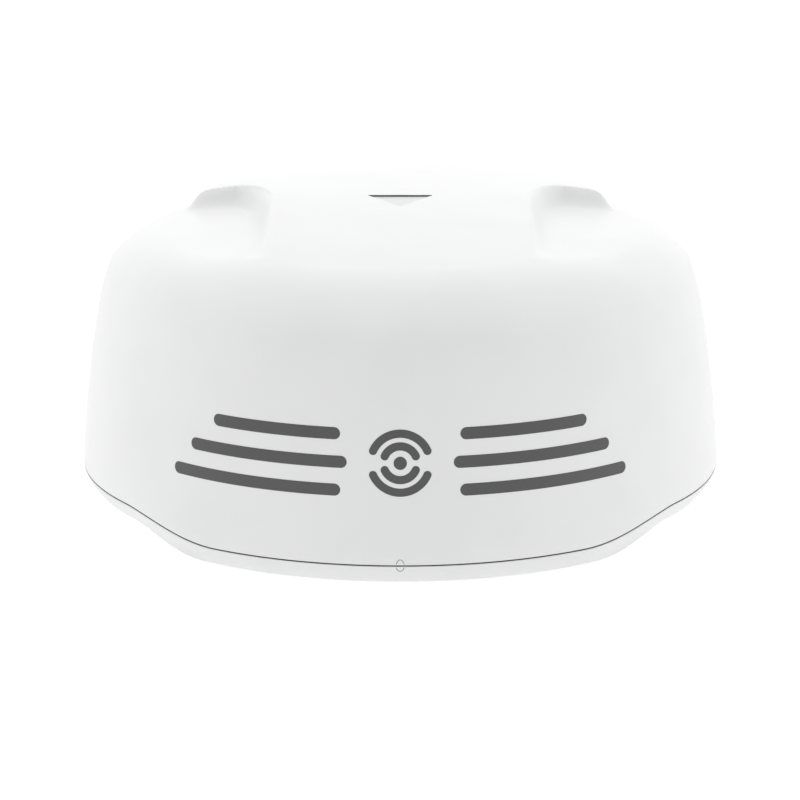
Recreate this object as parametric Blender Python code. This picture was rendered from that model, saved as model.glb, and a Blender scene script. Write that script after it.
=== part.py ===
"""Radar dome antenna, 508 mm across and 248 mm high, opened by lifting the dome off its base.

Frame: metres, +Z up, -Y towards the bow, origin at the centre of the mounting face.
An azimuth is measured from the bow (-Y) towards +X.
"""
import math

import bmesh
import bpy
from mathutils import Vector

# Overall form
GAP = 0.0003
DOME_RADIUS = 0.254
DOME_HEIGHT = 0.248
WALL = 0.0041
AZIMUTHS = 60

# Dome wall: upright up to the widest height, then drawn in by a linear and a square term
WIDEST_Z = 0.038
WALL_DRAFT = 0.055
WALL_BULGE = 0.48
SHOULDER_Z = 0.178
SHOULDER_RADIUS = 0.055
CROWN_RADIUS = 2.0

# Fuller, higher shoulder ahead; a crease on top of the wall abeam; a lower shoulder astern
BOW_FROM = math.radians(28)
BOW_TO = math.radians(62)
BOW_SHOULDER_RADIUS = 0.0635
BOW_SHOULDER_SHIFT = (-0.0093, 0.0011)
BOW_CREASE_RISE = 0.002
SHOULDER_TOP = math.radians(84.6)
BOW_TOP_EASE = math.radians(4.6)
ABEAM_RISE = (math.radians(58), math.radians(88))
ABEAM_FALL = (math.radians(104), math.radians(130))
CREASE_RISE = 0.016
TURN_IN = 0.0028
TURN_IN_Z = (0.158, 0.194)
STERN_DROP = 0.0055
STERN_FROM = math.radians(62)
STERN_TO = math.radians(114)

# Raised hood with a pocket on each side of its central band
HOOD_RADIUS = 1.034
BOW_BLEND = (0.25, 0.85)
STERN_BLEND = (0.45, 0.95)
RIM_START = (0.181, 0.172, 0.197)
RIM_FALL = (3000.0, 3000.0, 1500.0)
BAND_HALF = 0.1005
POCKET_CORNER = (0.035, 0.088)
POCKET_FILLET = (0.030, 0.017)
POCKET_POWER = 3.4
REAR_WALL_Y = 0.080
FADE_START_Y = -0.120
FADE_END_Y = -0.215
ARROW_HALF = 0.0256
ARROW_REAR_Y = -0.005
ARROW_LENGTH = 0.038
ARROW_DEPTH = 0.0014

# Seam between dome and base: low at bow and stern, raised over the hand-holds at the sides
SEAM_Z = 0.0185
SIDE_RISE = 0.0145
RISE_START = math.radians(34)
RISE_END = math.radians(58)
UNDERSIDE_DELAY = math.radians(5)
UNDERSIDE_Z = 0.005

# Base tray
PAD_HEIGHT = 0.002
FLOOR = 0.004
SPIGOT_HEIGHT = 0.006
MOUNT_X = 0.1165
MOUNT_Y = 0.07075
BUSH_RADIUS = 0.007
BUSH_LENGTH = 0.0177
BAY_HALF = 0.046
BAY_Y = (0.150, 0.206)
BAY_ROOF = 0.026
CHANNEL_HALF = 0.018
CHANNEL_ROOF = 0.009
CHANNEL_END_Y = 0.243
SOCKET_X = 0.024
SOCKET_Y = 0.178
VENT_AT = (0.060, -0.122)

# Captive cover screws, mirrored left and right
SCREW_CIRCLE = 0.229
SCREW_AZIMUTHS = [math.radians(a) for a in (25, 90, 155, 205, 270, 335)]

# Chassis and what stands on it
CHASSIS_Z = (0.0243, 0.0273)
CHASSIS_HALF = (0.160, 0.122)
POST_AT = (0.145, 0.095)
BOARD_X = (-0.150, -0.060)
BOARD_Y = (-0.080, 0.070)
BOARD_Z = (0.0330, 0.0346)

# Spindle and belt drive: 96 and 20 teeth of 3 mm pitch
SHAFT_RADIUS = 0.0147
PULLEY_Z = (0.0690, 0.0802)
DRIVEN_RADIUS = 0.0454
MOTOR_PULLEY_RADIUS = 0.0092
MOTOR_TEETH = 20
MOTOR_X = 0.085
BELT_CLEARANCE = 0.0004
BELT_THICKNESS = 0.0015
FLANGE = 0.0008

# Rotating antenna
BRACKET_Z = (0.0863, 0.0893)
ARRAY_HALF = 0.205
ARRAY_Z = (0.096, 0.186)
ARRAY_BACK_Y = -0.0353
ARRAY_DEPTH = 0.012
UPRIGHT_Y = (-0.035, -0.032)
UPRIGHT_TOP = 0.174

MATERIALS = {
    # name: (colour, roughness, metallic)
    "dome_plastic": ((0.86, 0.86, 0.86, 1), 0.30, 0.0),
    "base_plastic": ((0.80, 0.80, 0.80, 1), 0.38, 0.0),
    "rubber": ((0.03, 0.03, 0.03, 1), 0.75, 0.0),
    "aluminium": ((0.62, 0.63, 0.65, 1), 0.40, 1.0),
    "steel": ((0.55, 0.55, 0.56, 1), 0.25, 1.0),
    "brass": ((0.70, 0.52, 0.22, 1), 0.32, 1.0),
    "black_plastic": ((0.03, 0.03, 0.035, 1), 0.45, 0.0),
    "board": ((0.02, 0.17, 0.08, 1), 0.42, 0.0),
    "array_board": ((0.52, 0.44, 0.26, 1), 0.40, 0.0),
    "motor_paint": ((0.10, 0.10, 0.11, 1), 0.45, 0.3),
    "cable_jacket": ((0.04, 0.04, 0.05, 1), 0.60, 0.0),
}


# ---------------------------------------------------------------- scene and materials

def clear_scene():
    """Remove every object of the start-up file."""
    for item in list(bpy.data.objects):
        bpy.data.objects.remove(item, do_unlink=True)


def material(name):
    """Return the Principled material of that name, made on first use."""
    found = bpy.data.materials.get(name)
    if found:
        return found
    colour, roughness, metallic = MATERIALS[name]
    made = bpy.data.materials.new(name)
    made.use_nodes = True
    shader = made.node_tree.nodes["Principled BSDF"]
    shader.inputs["Base Color"].default_value = colour
    shader.inputs["Roughness"].default_value = roughness
    shader.inputs["Metallic"].default_value = metallic
    made.diffuse_color = colour
    return made


def axis_empty(name, location=(0, 0, 0)):
    """Make the empty that stands on a moving body's axis."""
    empty = bpy.data.objects.new(name, None)
    empty.location = location
    bpy.context.collection.objects.link(empty)
    return empty


def place(name, mesh, slot, location=(0, 0, 0), parent=None):
    """Put a mesh into the scene as a named sub-part of its own material."""
    if not mesh.materials:
        mesh.materials.append(material(slot))
    body = bpy.data.objects.new(name, mesh)
    body.location = location
    body.parent = parent
    bpy.context.collection.objects.link(body)
    return body


# ---------------------------------------------------------------- mesh builders

def finished_mesh(name, bm, smooth_angle=35):
    """Turn a bmesh into a mesh with outward faces, smooth except at sharp edges."""
    bmesh.ops.recalc_face_normals(bm, faces=bm.faces)
    mesh = bpy.data.meshes.new(name)
    bm.to_mesh(mesh)
    bm.free()
    mesh.shade_smooth()
    mesh.set_sharp_from_angle(angle=math.radians(smooth_angle))
    return mesh


def add_ring(bm, ring):
    """Add one ring of points, or the single point of an apex."""
    points = [ring] if isinstance(ring, Vector) else ring
    return [bm.verts.new(point) for point in points]


def bridge(bm, lower, upper):
    """Join two rings of equal count with quads, or a ring to an apex with triangles."""
    count = max(len(lower), len(upper))
    for i in range(count):
        j = (i + 1) % count
        if len(lower) == 1:
            bm.faces.new((lower[0], upper[j], upper[i]))
        elif len(upper) == 1:
            bm.faces.new((lower[i], lower[j], upper[0]))
        else:
            bm.faces.new((lower[i], lower[j], upper[j], upper[i]))


def ringed_mesh(name, rings, looped=False, smooth_angle=35):
    """Skin a list of rings into one closed body: capped by apex points, or looped on itself."""
    bm = bmesh.new()
    rows = [add_ring(bm, ring) for ring in rings]
    for lower, upper in zip(rows, rows[1:]):
        bridge(bm, lower, upper)
    if looped:
        bridge(bm, rows[-1], rows[0])
    return finished_mesh(name, bm, smooth_angle)


def circle(radius, z, sides=AZIMUTHS):
    """Points of a level circle, or its centre where the radius is zero."""
    if radius == 0:
        return Vector((0, 0, z))
    steps = (2 * math.pi * i / sides for i in range(sides))
    return [Vector((radius * math.sin(a), -radius * math.cos(a), z)) for a in steps]


def turned(name, profile, sides=24, smooth_angle=35):
    """Turn a profile of (radius, z) points; one that never meets the axis closes on itself."""
    hollow = profile[0][0] > 0
    return ringed_mesh(name, [circle(r, z, sides) for r, z in profile], hollow, smooth_angle)


def extruded(name, outline, low, high, plane="xy"):
    """Extrude a closed outline between two levels of the axis that its plane leaves out."""
    bm = bmesh.new()
    order = {"xy": lambda u, v, w: (u, v, w), "yz": lambda u, v, w: (w, u, v)}[plane]
    ends = [[bm.verts.new(order(u, v, level)) for u, v in outline] for level in (low, high)]
    bridge(bm, *ends)
    for end in ends:
        bm.faces.new(end)
    return finished_mesh(name, bm)


def rounded_rectangle(half_x, half_y, radius, steps=4):
    """Outline of a rectangle about the origin with round corners."""
    points = []
    for quarter in range(4):
        sign_x = 1 if quarter in (0, 3) else -1
        sign_y = 1 if quarter in (0, 1) else -1
        centre = (sign_x * (half_x - radius), sign_y * (half_y - radius))
        for i in range(steps + 1):
            angle = math.pi / 2 * (quarter + i / steps)
            points.append((centre[0] + radius * math.cos(angle), centre[1] + radius * math.sin(angle)))
    return points


def add_box(bm, low, high):
    """Add a box between two corners to a bmesh."""
    made = bmesh.ops.create_cube(bm, size=1)["verts"]
    for vert in made:
        vert.co = Vector([lo + (c + 0.5) * (hi - lo) for c, lo, hi in zip(vert.co, low, high)])


def add_cylinder(bm, x, y, low, high, radius, sides=20):
    """Add an upright cylinder to a bmesh."""
    made = bmesh.ops.create_cone(
        bm, cap_ends=True, segments=sides, radius1=radius, radius2=radius, depth=high - low)["verts"]
    bmesh.ops.translate(bm, verts=made, vec=(x, y, (low + high) / 2))


def box(name, low, high, bevel=0.0):
    """Mesh of a box between two corners, with its edges bevelled."""
    bm = bmesh.new()
    add_box(bm, low, high)
    if bevel:
        bmesh.ops.bevel(bm, geom=bm.edges[:], offset=bevel, segments=1, affect="EDGES")
    return finished_mesh(name, bm, 30)


def modify(target, operation, name, fill):
    """Add a hidden tool to a body, or cut it out; fill draws the tool's separate solids."""
    bm = bmesh.new()
    fill(bm)
    tool = bpy.data.objects.new(name, finished_mesh(name, bm))
    tool.display_type = "WIRE"
    tool.hide_render = True
    bpy.context.collection.objects.link(tool)
    step = target.modifiers.new(name, "BOOLEAN")
    step.operation = operation
    step.solver = "EXACT"
    step.object = tool


# ---------------------------------------------------------------- outer form

def smoothstep(value):
    """Ease a value from 0 to 1 with level ends."""
    value = min(1.0, max(0.0, value))
    return value * value * (3 - 2 * value)


def side_rise(azimuth, delay=0.0):
    """Height that the seam gains towards the sides; a delay starts the rise further out."""
    from_keel = math.asin(min(1.0, abs(math.sin(azimuth))))
    start = RISE_START + delay
    return SIDE_RISE * smoothstep((from_keel - start) / (RISE_END - start))


def from_bow(azimuth):
    """Angle between an azimuth and the bow."""
    return math.acos(min(1.0, max(-1.0, math.cos(azimuth))))


def bow_share(azimuth):
    """How far an azimuth belongs to the fuller bow."""
    return 1 - smoothstep((from_bow(azimuth) - BOW_FROM) / (BOW_TO - BOW_FROM))


def abeam_share(azimuth):
    """How far an azimuth belongs to the sides, where a crease tops the wall."""
    ahead = from_bow(azimuth)
    rise = smoothstep((ahead - ABEAM_RISE[0]) / (ABEAM_RISE[1] - ABEAM_RISE[0]))
    return rise * (1 - smoothstep((ahead - ABEAM_FALL[0]) / (ABEAM_FALL[1] - ABEAM_FALL[0])))


def wall_radius(z, azimuth=0.0):
    """Outer radius of the dome's wall."""
    above = max(0.0, z - WIDEST_Z)
    turned_in = max(0.0, z - TURN_IN_Z[0]) / (TURN_IN_Z[1] - TURN_IN_Z[0])
    plain = DOME_RADIUS - WALL_DRAFT * above - WALL_BULGE * above * above
    return plain - TURN_IN * abeam_share(azimuth) * turned_in * turned_in


def crease_z(azimuth):
    """Height where the wall meets the shoulder."""
    return SHOULDER_Z + BOW_CREASE_RISE * bow_share(azimuth) + CREASE_RISE * abeam_share(azimuth)


def shoulder_arc(azimuth):
    """Centre radius, centre height, radius, lower and upper end angles of the shoulder's arc."""
    lean = math.atan(WALL_DRAFT + 2 * WALL_BULGE * (SHOULDER_Z - WIDEST_Z))
    bow = bow_share(azimuth)
    drop = STERN_DROP * smoothstep((from_bow(azimuth) - STERN_FROM) / (STERN_TO - STERN_FROM))
    centre_r = wall_radius(SHOULDER_Z) - SHOULDER_RADIUS * math.cos(lean) + BOW_SHOULDER_SHIFT[0] * bow
    centre_z = SHOULDER_Z - SHOULDER_RADIUS * math.sin(lean) + BOW_SHOULDER_SHIFT[1] * bow - drop
    reach = SHOULDER_RADIUS + (BOW_SHOULDER_RADIUS - SHOULDER_RADIUS) * bow
    low = math.asin((crease_z(azimuth) - centre_z) / reach)
    return centre_r, centre_z, reach, low, SHOULDER_TOP - BOW_TOP_EASE * bow


def shoulder_point(azimuth, share, inset):
    """Radius and height at a share of the shoulder's arc, inset for the inner skin."""
    centre_r, centre_z, reach, low, high = shoulder_arc(azimuth)
    proud = wall_radius(crease_z(azimuth), azimuth) - centre_r - reach * math.cos(low)
    angle = low + share * (high - low)
    radius = centre_r + (reach - inset) * math.cos(angle) + proud * (1 - share) ** 3
    return radius, centre_z + (reach - inset) * math.sin(angle)


def crown_height_above(top_r, radius):
    """Height of the plain crown at a radius above its rim."""
    return math.sqrt(CROWN_RADIUS ** 2 - radius ** 2) - math.sqrt(CROWN_RADIUS ** 2 - top_r ** 2)


def crown_point(azimuth, share, inset):
    """Radius and height at a share of the crown's radius, inset for the inner skin."""
    top_r, top_z = shoulder_point(azimuth, 1.0, inset)
    side_r, side_z = shoulder_point(math.pi / 2, 1.0, inset)
    apex = side_z + crown_height_above(side_r, 0.0)
    radius = share * top_r
    plain = apex - CROWN_RADIUS + math.sqrt(CROWN_RADIUS ** 2 - radius ** 2)
    edge = apex - CROWN_RADIUS + math.sqrt(CROWN_RADIUS ** 2 - top_r ** 2)
    return radius, plain + (top_z - edge) * share ** 3


def pocket_share(x, y):
    """How far a pocket is sunk at a point: 0 on the hood, 1 on a pocket's floor."""
    across = max(0.0, 1 - (abs(x) - BAND_HALF) / POCKET_CORNER[0])
    aft = max(0.0, 1 - (REAR_WALL_Y - y) / POCKET_CORNER[1])
    reach = math.hypot(across, aft)
    if reach == 0:
        sunk = 1.0
    else:
        fillet = (across / reach) ** 2 * POCKET_FILLET[0] / POCKET_CORNER[0]
        fillet += (aft / reach) ** 2 * POCKET_FILLET[1] / POCKET_CORNER[1]
        sunk = min(1.0, max(0.0, (1 - reach) / fillet))
    fading = smoothstep((y - FADE_END_Y) / (FADE_START_Y - FADE_END_Y))
    return (1 - (1 - sunk) ** POCKET_POWER) * fading


def hood_height(x, y, inset):
    """Height of the hood's own surface: a low sphere whose rim falls away to the shoulder."""
    radius = math.hypot(x, y)
    forward = -y / max(radius, 1e-9)
    bow = smoothstep((forward - BOW_BLEND[0]) / (BOW_BLEND[1] - BOW_BLEND[0]))
    stern = smoothstep((-forward - STERN_BLEND[0]) / (STERN_BLEND[1] - STERN_BLEND[0]))
    shares = (bow, 1 - bow - stern, stern)
    start = sum(share * value for share, value in zip(shares, RIM_START))
    fall = math.exp(sum(share * math.log(value) for share, value in zip(shares, RIM_FALL)))
    sphere = DOME_HEIGHT - inset - HOOD_RADIUS + math.sqrt(HOOD_RADIUS ** 2 - radius ** 2)
    return sphere - fall * max(0.0, radius - start) ** 3


def hooded_point(azimuth, radius, z, inset):
    """Point of a skin above the wall, raised where the hood stands on the plain dome."""
    x, y, _z = plain_point(azimuth, radius, z)
    raised = max(0.0, hood_height(x, y, inset) - z)
    return Vector((x, y, z + raised * (1 - pocket_share(x, y))))


def dome_rings(inset, wall_steps, shoulder_steps, crown_steps):
    """Rings of one skin of the dome, from the seam up to the apex."""
    azimuths = [2 * math.pi * i / AZIMUTHS for i in range(AZIMUTHS)]
    rings = []
    for step in range(wall_steps + 1):
        ring = []
        for azimuth in azimuths:
            foot = SEAM_Z + side_rise(azimuth)
            z = foot + (crease_z(azimuth) - foot) * step / wall_steps
            ring.append(plain_point(azimuth, wall_radius(z, azimuth) - inset, z))
        rings.append(ring)
    for step in range(1, shoulder_steps):
        share = step / shoulder_steps
        rings.append([hooded_point(a, *shoulder_point(a, share, inset), inset) for a in azimuths])
    for step in range(crown_steps):
        share = 1 - step / crown_steps
        rings.append([hooded_point(a, *crown_point(a, share, inset), inset) for a in azimuths])
    rings.append(Vector((0, 0, DOME_HEIGHT - inset)))
    return rings


def plain_point(azimuth, radius, z):
    """Point at an azimuth, a radius and a height."""
    return Vector((radius * math.sin(azimuth), -radius * math.cos(azimuth), z))


def screw_place(azimuth):
    """Foot of a cover screw's axis: x, y and the rise of the seam there."""
    return SCREW_CIRCLE * math.sin(azimuth), -SCREW_CIRCLE * math.cos(azimuth), side_rise(azimuth)


# ---------------------------------------------------------------- dome

def build_dome(lift):
    """Radome shell with its six bosses, and the threaded inserts in them."""
    outer = dome_rings(0.0, 5, 4, 12)
    inner = dome_rings(WALL, 3, 4, 12)
    mesh = ringed_mesh("radome_shell", list(reversed(outer)) + inner)
    shell = place("radome_shell", mesh, "dome_plastic", parent=lift)

    def bosses(bm):
        for azimuth in SCREW_AZIMUTHS:
            x, y, rise = screw_place(azimuth)
            add_cylinder(bm, x, y, SEAM_Z + rise, 0.044 + rise, 0.0072, 12)

    def webs(bm):
        for azimuth in SCREW_AZIMUTHS:
            rise = side_rise(azimuth)
            before = len(bm.verts)
            add_box(bm, (SCREW_CIRCLE, -0.0035, 0.0255 + rise), (0.2515, 0.0035, 0.042 + rise))
            bm.verts.ensure_lookup_table()
            turn = azimuth - math.pi / 2
            for vert in bm.verts[before:]:
                x, y = vert.co.x, vert.co.y
                vert.co.x = x * math.cos(turn) - y * math.sin(turn)
                vert.co.y = x * math.sin(turn) + y * math.cos(turn)

    def bores(bm):
        for azimuth in SCREW_AZIMUTHS:
            x, y, rise = screw_place(azimuth)
            add_cylinder(bm, x, y, SEAM_Z + rise - 0.002, 0.035 + rise, 0.0041, 12)

    def arrow(bm):
        rear = crown_height(ARROW_REAR_Y)
        top = [(-ARROW_HALF, ARROW_REAR_Y), (ARROW_HALF, ARROW_REAR_Y), (0, ARROW_REAR_Y - ARROW_LENGTH)]
        floor = [rear - ARROW_DEPTH, rear - ARROW_DEPTH, crown_height(top[2][1])]
        lower = [bm.verts.new((x, y, z)) for (x, y), z in zip(top, floor)]
        upper = [bm.verts.new((x, y, DOME_HEIGHT + 0.01)) for x, y in top]
        bridge(bm, lower, upper)
        bm.faces.new(lower)
        bm.faces.new(upper)

    modify(shell, "UNION", "dome_bosses", bosses)
    modify(shell, "UNION", "dome_webs", webs)
    modify(shell, "DIFFERENCE", "dome_bores", bores)
    modify(shell, "DIFFERENCE", "bow_arrow", arrow)

    profile = [(0.0028, 0.0188), (0.0038, 0.0188), (0.0038, 0.0308), (0.0028, 0.0308)]
    insert = turned("thread_insert", profile, 12)
    for number, azimuth in enumerate(SCREW_AZIMUTHS, 1):
        place(f"thread_insert_{number}", insert, "brass", screw_place(azimuth), lift)


def crown_height(y):
    """Height of the hood's crown on the centre line."""
    return DOME_HEIGHT - HOOD_RADIUS + math.sqrt(HOOD_RADIUS ** 2 - y * y)


# ---------------------------------------------------------------- base

def base_rings():
    """Section of the base tray, turned with the side rise: underside, skirt, spigot, inside."""
    # (radius, height, share of the side rise)
    floor_top = PAD_HEIGHT + FLOOR
    land = SEAM_Z - GAP
    section = [
        (0.188, PAD_HEIGHT, 0), (0.207, PAD_HEIGHT, 1), (0.241, PAD_HEIGHT, 1),
        (0.2448, 0.0036, 1), (0.2505, 0.0108, 1), (DOME_RADIUS, land, 1),
        (0.2467, land, 1), (0.2465, land + SPIGOT_HEIGHT, 1), (0.2435, land + SPIGOT_HEIGHT, 1),
        (0.2425, land, 1), (0.2385, 0.0085, 1), (0.2360, floor_top, 1), (0.210, floor_top, 1),
        (0.1905, floor_top, 0),
    ]
    rings = [Vector((0, 0, PAD_HEIGHT))]
    for radius, z, share in section:
        ring = []
        for i in range(AZIMUTHS):
            azimuth = 2 * math.pi * i / AZIMUTHS
            delay = UNDERSIDE_DELAY if z < UNDERSIDE_Z else 0.0
            ring.append(plain_point(azimuth, radius, z + share * side_rise(azimuth, delay)))
        rings.append(ring)
    rings.append(Vector((0, 0, floor_top)))
    return rings


def mount_places():
    """Centres of the four mounting bushes."""
    return [(sx * MOUNT_X, sy * MOUNT_Y) for sy in (-1, 1) for sx in (-1, 1)]


def post_places():
    """Centres of the four posts that carry the chassis."""
    return [(sx * POST_AT[0], sy * POST_AT[1]) for sy in (-1, 1) for sx in (-1, 1)]


def build_base_housing():
    """Base tray with mounting pads, screw towers, chassis posts and the connector bay."""
    tray = place("base_housing", ringed_mesh("base_housing", base_rings()), "base_plastic")
    inside = PAD_HEIGHT + FLOOR / 2

    def pads(bm):
        for x, y in mount_places():
            add_cylinder(bm, x, y, 0, inside, 0.018)

    def bosses(bm):
        for x, y in mount_places():
            add_cylinder(bm, x, y, inside - 0.0005, 0.0220, 0.0115)
        for x, y in post_places():
            add_cylinder(bm, x, y, inside, CHASSIS_Z[0] - GAP, 0.007, 12)
        for azimuth in SCREW_AZIMUTHS:
            x, y, rise = screw_place(azimuth)
            add_cylinder(bm, x, y, inside + rise, SEAM_Z - GAP + rise, 0.0085, 12)

    def bay_shell(bm):
        add_box(bm, (-BAY_HALF - FLOOR, BAY_Y[0] - FLOOR, inside),
                (BAY_HALF + FLOOR, BAY_Y[1] + FLOOR, BAY_ROOF + FLOOR))

    def channel_shell(bm):
        add_box(bm, (-CHANNEL_HALF - FLOOR, BAY_Y[1], inside),
                (CHANNEL_HALF + FLOOR, CHANNEL_END_Y, CHANNEL_ROOF + FLOOR))

    def bay(bm):
        add_box(bm, (-BAY_HALF, BAY_Y[0], -0.01), (BAY_HALF, BAY_Y[1], BAY_ROOF))

    def channel(bm):
        add_box(bm, (-CHANNEL_HALF, BAY_Y[1] - 0.002, -0.01),
                (CHANNEL_HALF, DOME_RADIUS + 0.01, CHANNEL_ROOF))

    def bores(bm):
        for x, y in mount_places():
            add_cylinder(bm, x, y, -0.01, BUSH_LENGTH + 2 * GAP, BUSH_RADIUS + GAP)
        for x, y in post_places():
            add_cylinder(bm, x, y, 0.012, CHASSIS_Z[0] + 0.005, 0.0018, 12)
        for azimuth in SCREW_AZIMUTHS:
            x, y, rise = screw_place(azimuth)
            add_cylinder(bm, x, y, -0.01, 0.008 + rise, 0.0060, 12)
        for side in (-1, 1):
            add_cylinder(bm, side * SOCKET_X, SOCKET_Y, 0.020, BAY_ROOF + 0.010, 0.0095)
        add_cylinder(bm, *VENT_AT, -0.01, 0.02, 0.0041, 16)

    def screw_holes(bm):
        for azimuth in SCREW_AZIMUTHS:
            x, y, rise = screw_place(azimuth)
            add_cylinder(bm, x, y, 0.006 + rise, 0.030 + rise, 0.0029, 12)

    modify(tray, "UNION", "mount_pads", pads)
    modify(tray, "UNION", "tray_bosses", bosses)
    modify(tray, "UNION", "bay_shell", bay_shell)
    modify(tray, "UNION", "channel_shell", channel_shell)
    modify(tray, "DIFFERENCE", "bay", bay)
    modify(tray, "DIFFERENCE", "channel", channel)
    modify(tray, "DIFFERENCE", "tray_bores", bores)
    modify(tray, "DIFFERENCE", "screw_holes", screw_holes)


def build_seam_gasket():
    """Sealing ring in the corner between the spigot and the dome's wall."""
    corners = [(0.2470, GAP), (0.2496, GAP), (0.2496, 0.0030), (0.2470, 0.0030)]
    rings = []
    for radius, above in corners:
        ring = []
        for i in range(AZIMUTHS):
            azimuth = 2 * math.pi * i / AZIMUTHS
            ring.append(plain_point(azimuth, radius, SEAM_Z - GAP + above + side_rise(azimuth)))
        rings.append(ring)
    place("seam_gasket", ringed_mesh("seam_gasket", rings, looped=True), "rubber")


def build_cover_screws():
    """Six captive screws, heads sunk into the underside, shanks up into the dome's bosses."""
    profile = [
        (0, 0.0056), (0.0021, 0.0056), (0.0021, 0.0034), (0.0042, 0.0034), (0.0048, 0.0040),
        (0.0048, 0.0077), (0.0025, 0.0077), (0.0025, 0.0300), (0.0018, 0.0310), (0, 0.0310),
    ]
    mesh = turned("cover_screw", profile, 12)
    for number, azimuth in enumerate(SCREW_AZIMUTHS, 1):
        place(f"cover_screw_{number}", mesh, "steel", screw_place(azimuth))


def build_mount_bushes():
    """Four blind-set M8 bushes that take the mounting bolts."""
    top = GAP + BUSH_LENGTH
    profile = [(0.0034, GAP), (BUSH_RADIUS, GAP), (BUSH_RADIUS, top), (0.0034, top)]
    mesh = turned("mount_bush", profile, 16)
    for number, (x, y) in enumerate(mount_places(), 1):
        place(f"mount_bush_{number}", mesh, "brass", (x, y, 0))


def build_underside_fittings():
    """Pressure vent and the two sockets that hang in the connector bay."""
    vent = [(0, 0.0005), (0.0072, 0.0005), (0.0080, 0.0010), (0.0080, 0.0017), (0.0037, 0.0017),
            (0.0037, 0.0085), (0, 0.0085)]
    place("breather_vent", turned("breather_vent", vent, 16), "black_plastic", (*VENT_AT, 0))
    socket = [
        (0, 0.014), (0.0042, 0.014), (0.0042, 0.021), (0.0074, 0.021), (0.0074, 0.012), (0.0093, 0.012),
        (0.0093, 0.0215), (0.0125, 0.0215), (0.0125, 0.0257), (0.0091, 0.0257), (0.0091, 0.0360), (0, 0.0360),
    ]
    mesh = turned("socket", socket, 16)
    place("power_socket", mesh, "black_plastic", (-SOCKET_X, SOCKET_Y, 0))
    place("network_socket", mesh, "black_plastic", (SOCKET_X, SOCKET_Y, 0))


# ---------------------------------------------------------------- chassis

def build_chassis():
    """Aluminium chassis plate with stand-offs for the board, and its four screws."""
    outline = rounded_rectangle(*CHASSIS_HALF, 0.040, 6)
    plate = place("chassis_plate", extruded("chassis_plate", outline, *CHASSIS_Z), "aluminium")

    def standoffs(bm):
        for x in (BOARD_X[0] + 0.006, BOARD_X[1] - 0.006):
            for y in (BOARD_Y[0] + 0.006, BOARD_Y[1] - 0.006):
                add_cylinder(bm, x, y, CHASSIS_Z[0] + 0.001, BOARD_Z[0] - GAP, 0.003, 12)

    def holes(bm):
        add_cylinder(bm, 0, 0, 0, 0.05, 0.012)
        for x, y in post_places():
            add_cylinder(bm, x, y, 0, 0.05, 0.0021, 12)

    modify(plate, "UNION", "board_standoffs", standoffs)
    modify(plate, "DIFFERENCE", "plate_holes", holes)

    profile = [(0, 0.0160), (0.0014, 0.0160), (0.0014, 0.0276), (0.0040, 0.0276), (0.0040, 0.0292),
               (0.0032, 0.0300), (0, 0.0300)]
    mesh = turned("chassis_screw", profile, 12)
    for number, (x, y) in enumerate(post_places(), 1):
        place(f"chassis_screw_{number}", mesh, "steel", (x, y, 0))


def build_electronics():
    """Main board with its shield and capacitors, and the motor's power module."""
    low = (BOARD_X[0], BOARD_Y[0], BOARD_Z[0])
    high = (BOARD_X[1], BOARD_Y[1], BOARD_Z[1])
    place("main_board", box("main_board", low, high), "board")
    deck = BOARD_Z[1] + GAP
    place("shield_can", box("shield_can", (-0.140, -0.008, deck), (-0.078, 0.048, deck + 0.009), 0.0012),
          "aluminium")
    can = [(0, deck), (0.0078, deck), (0.0078, deck + 0.0195), (0.0070, deck + 0.0205), (0, deck + 0.0205)]
    mesh = turned("capacitor", can, 16)
    for number, y in enumerate((-0.060, -0.038), 1):
        place(f"capacitor_{number}", mesh, "black_plastic", (-0.080, y, 0))
    floor = CHASSIS_Z[1] + GAP
    place("power_module", box("power_module", (-0.022, -0.112, floor), (0.045, -0.072, floor + 0.020), 0.002),
          "black_plastic")


def build_bearing_housing():
    """Bearing housing on the chassis with its two ball bearings."""
    profile = [
        (0.0165, 0.0276), (0.055, 0.0276), (0.055, 0.0318), (0.0542, 0.0326), (0.036, 0.0326),
        (0.031, 0.0380), (0.031, 0.0667), (0.0302, 0.0675), (0.0238, 0.0675), (0.0238, 0.0577),
        (0.0212, 0.0577), (0.0212, 0.0453), (0.0238, 0.0453), (0.0238, 0.0360), (0.0165, 0.0360),
    ]
    place("bearing_housing", turned("bearing_housing", profile, 28), "aluminium")
    ring = [(0.0150, 0), (0.0235, 0), (0.0235, 0.0087), (0.0210, 0.0087), (0.0193, 0.0079),
            (0.0175, 0.0087), (0.0150, 0.0087)]
    mesh = turned("bearing", ring, 24)
    place("lower_bearing", mesh, "steel", (0, 0, 0.0363))
    place("upper_bearing", mesh, "steel", (0, 0, 0.0580))


def build_slip_ring_stator():
    """Fixed half of the slip ring: a flange under the chassis and a barrel inside the shaft."""
    profile = [(0, 0.0190), (0.0160, 0.0190), (0.0160, 0.0240), (0.0078, 0.0240), (0.0078, 0.0700),
               (0, 0.0700)]
    place("slip_ring_stator", turned("slip_ring_stator", profile, 20), "black_plastic")


def build_index_sensor():
    """Sensor post on the housing's flange that sees the magnet once a turn."""
    mesh = box("index_sensor", (-0.0462, -0.005, 0.0329), (-0.0362, 0.005, 0.0638), 0.0008)
    place("index_sensor", mesh, "black_plastic")


# ---------------------------------------------------------------- drive

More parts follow.
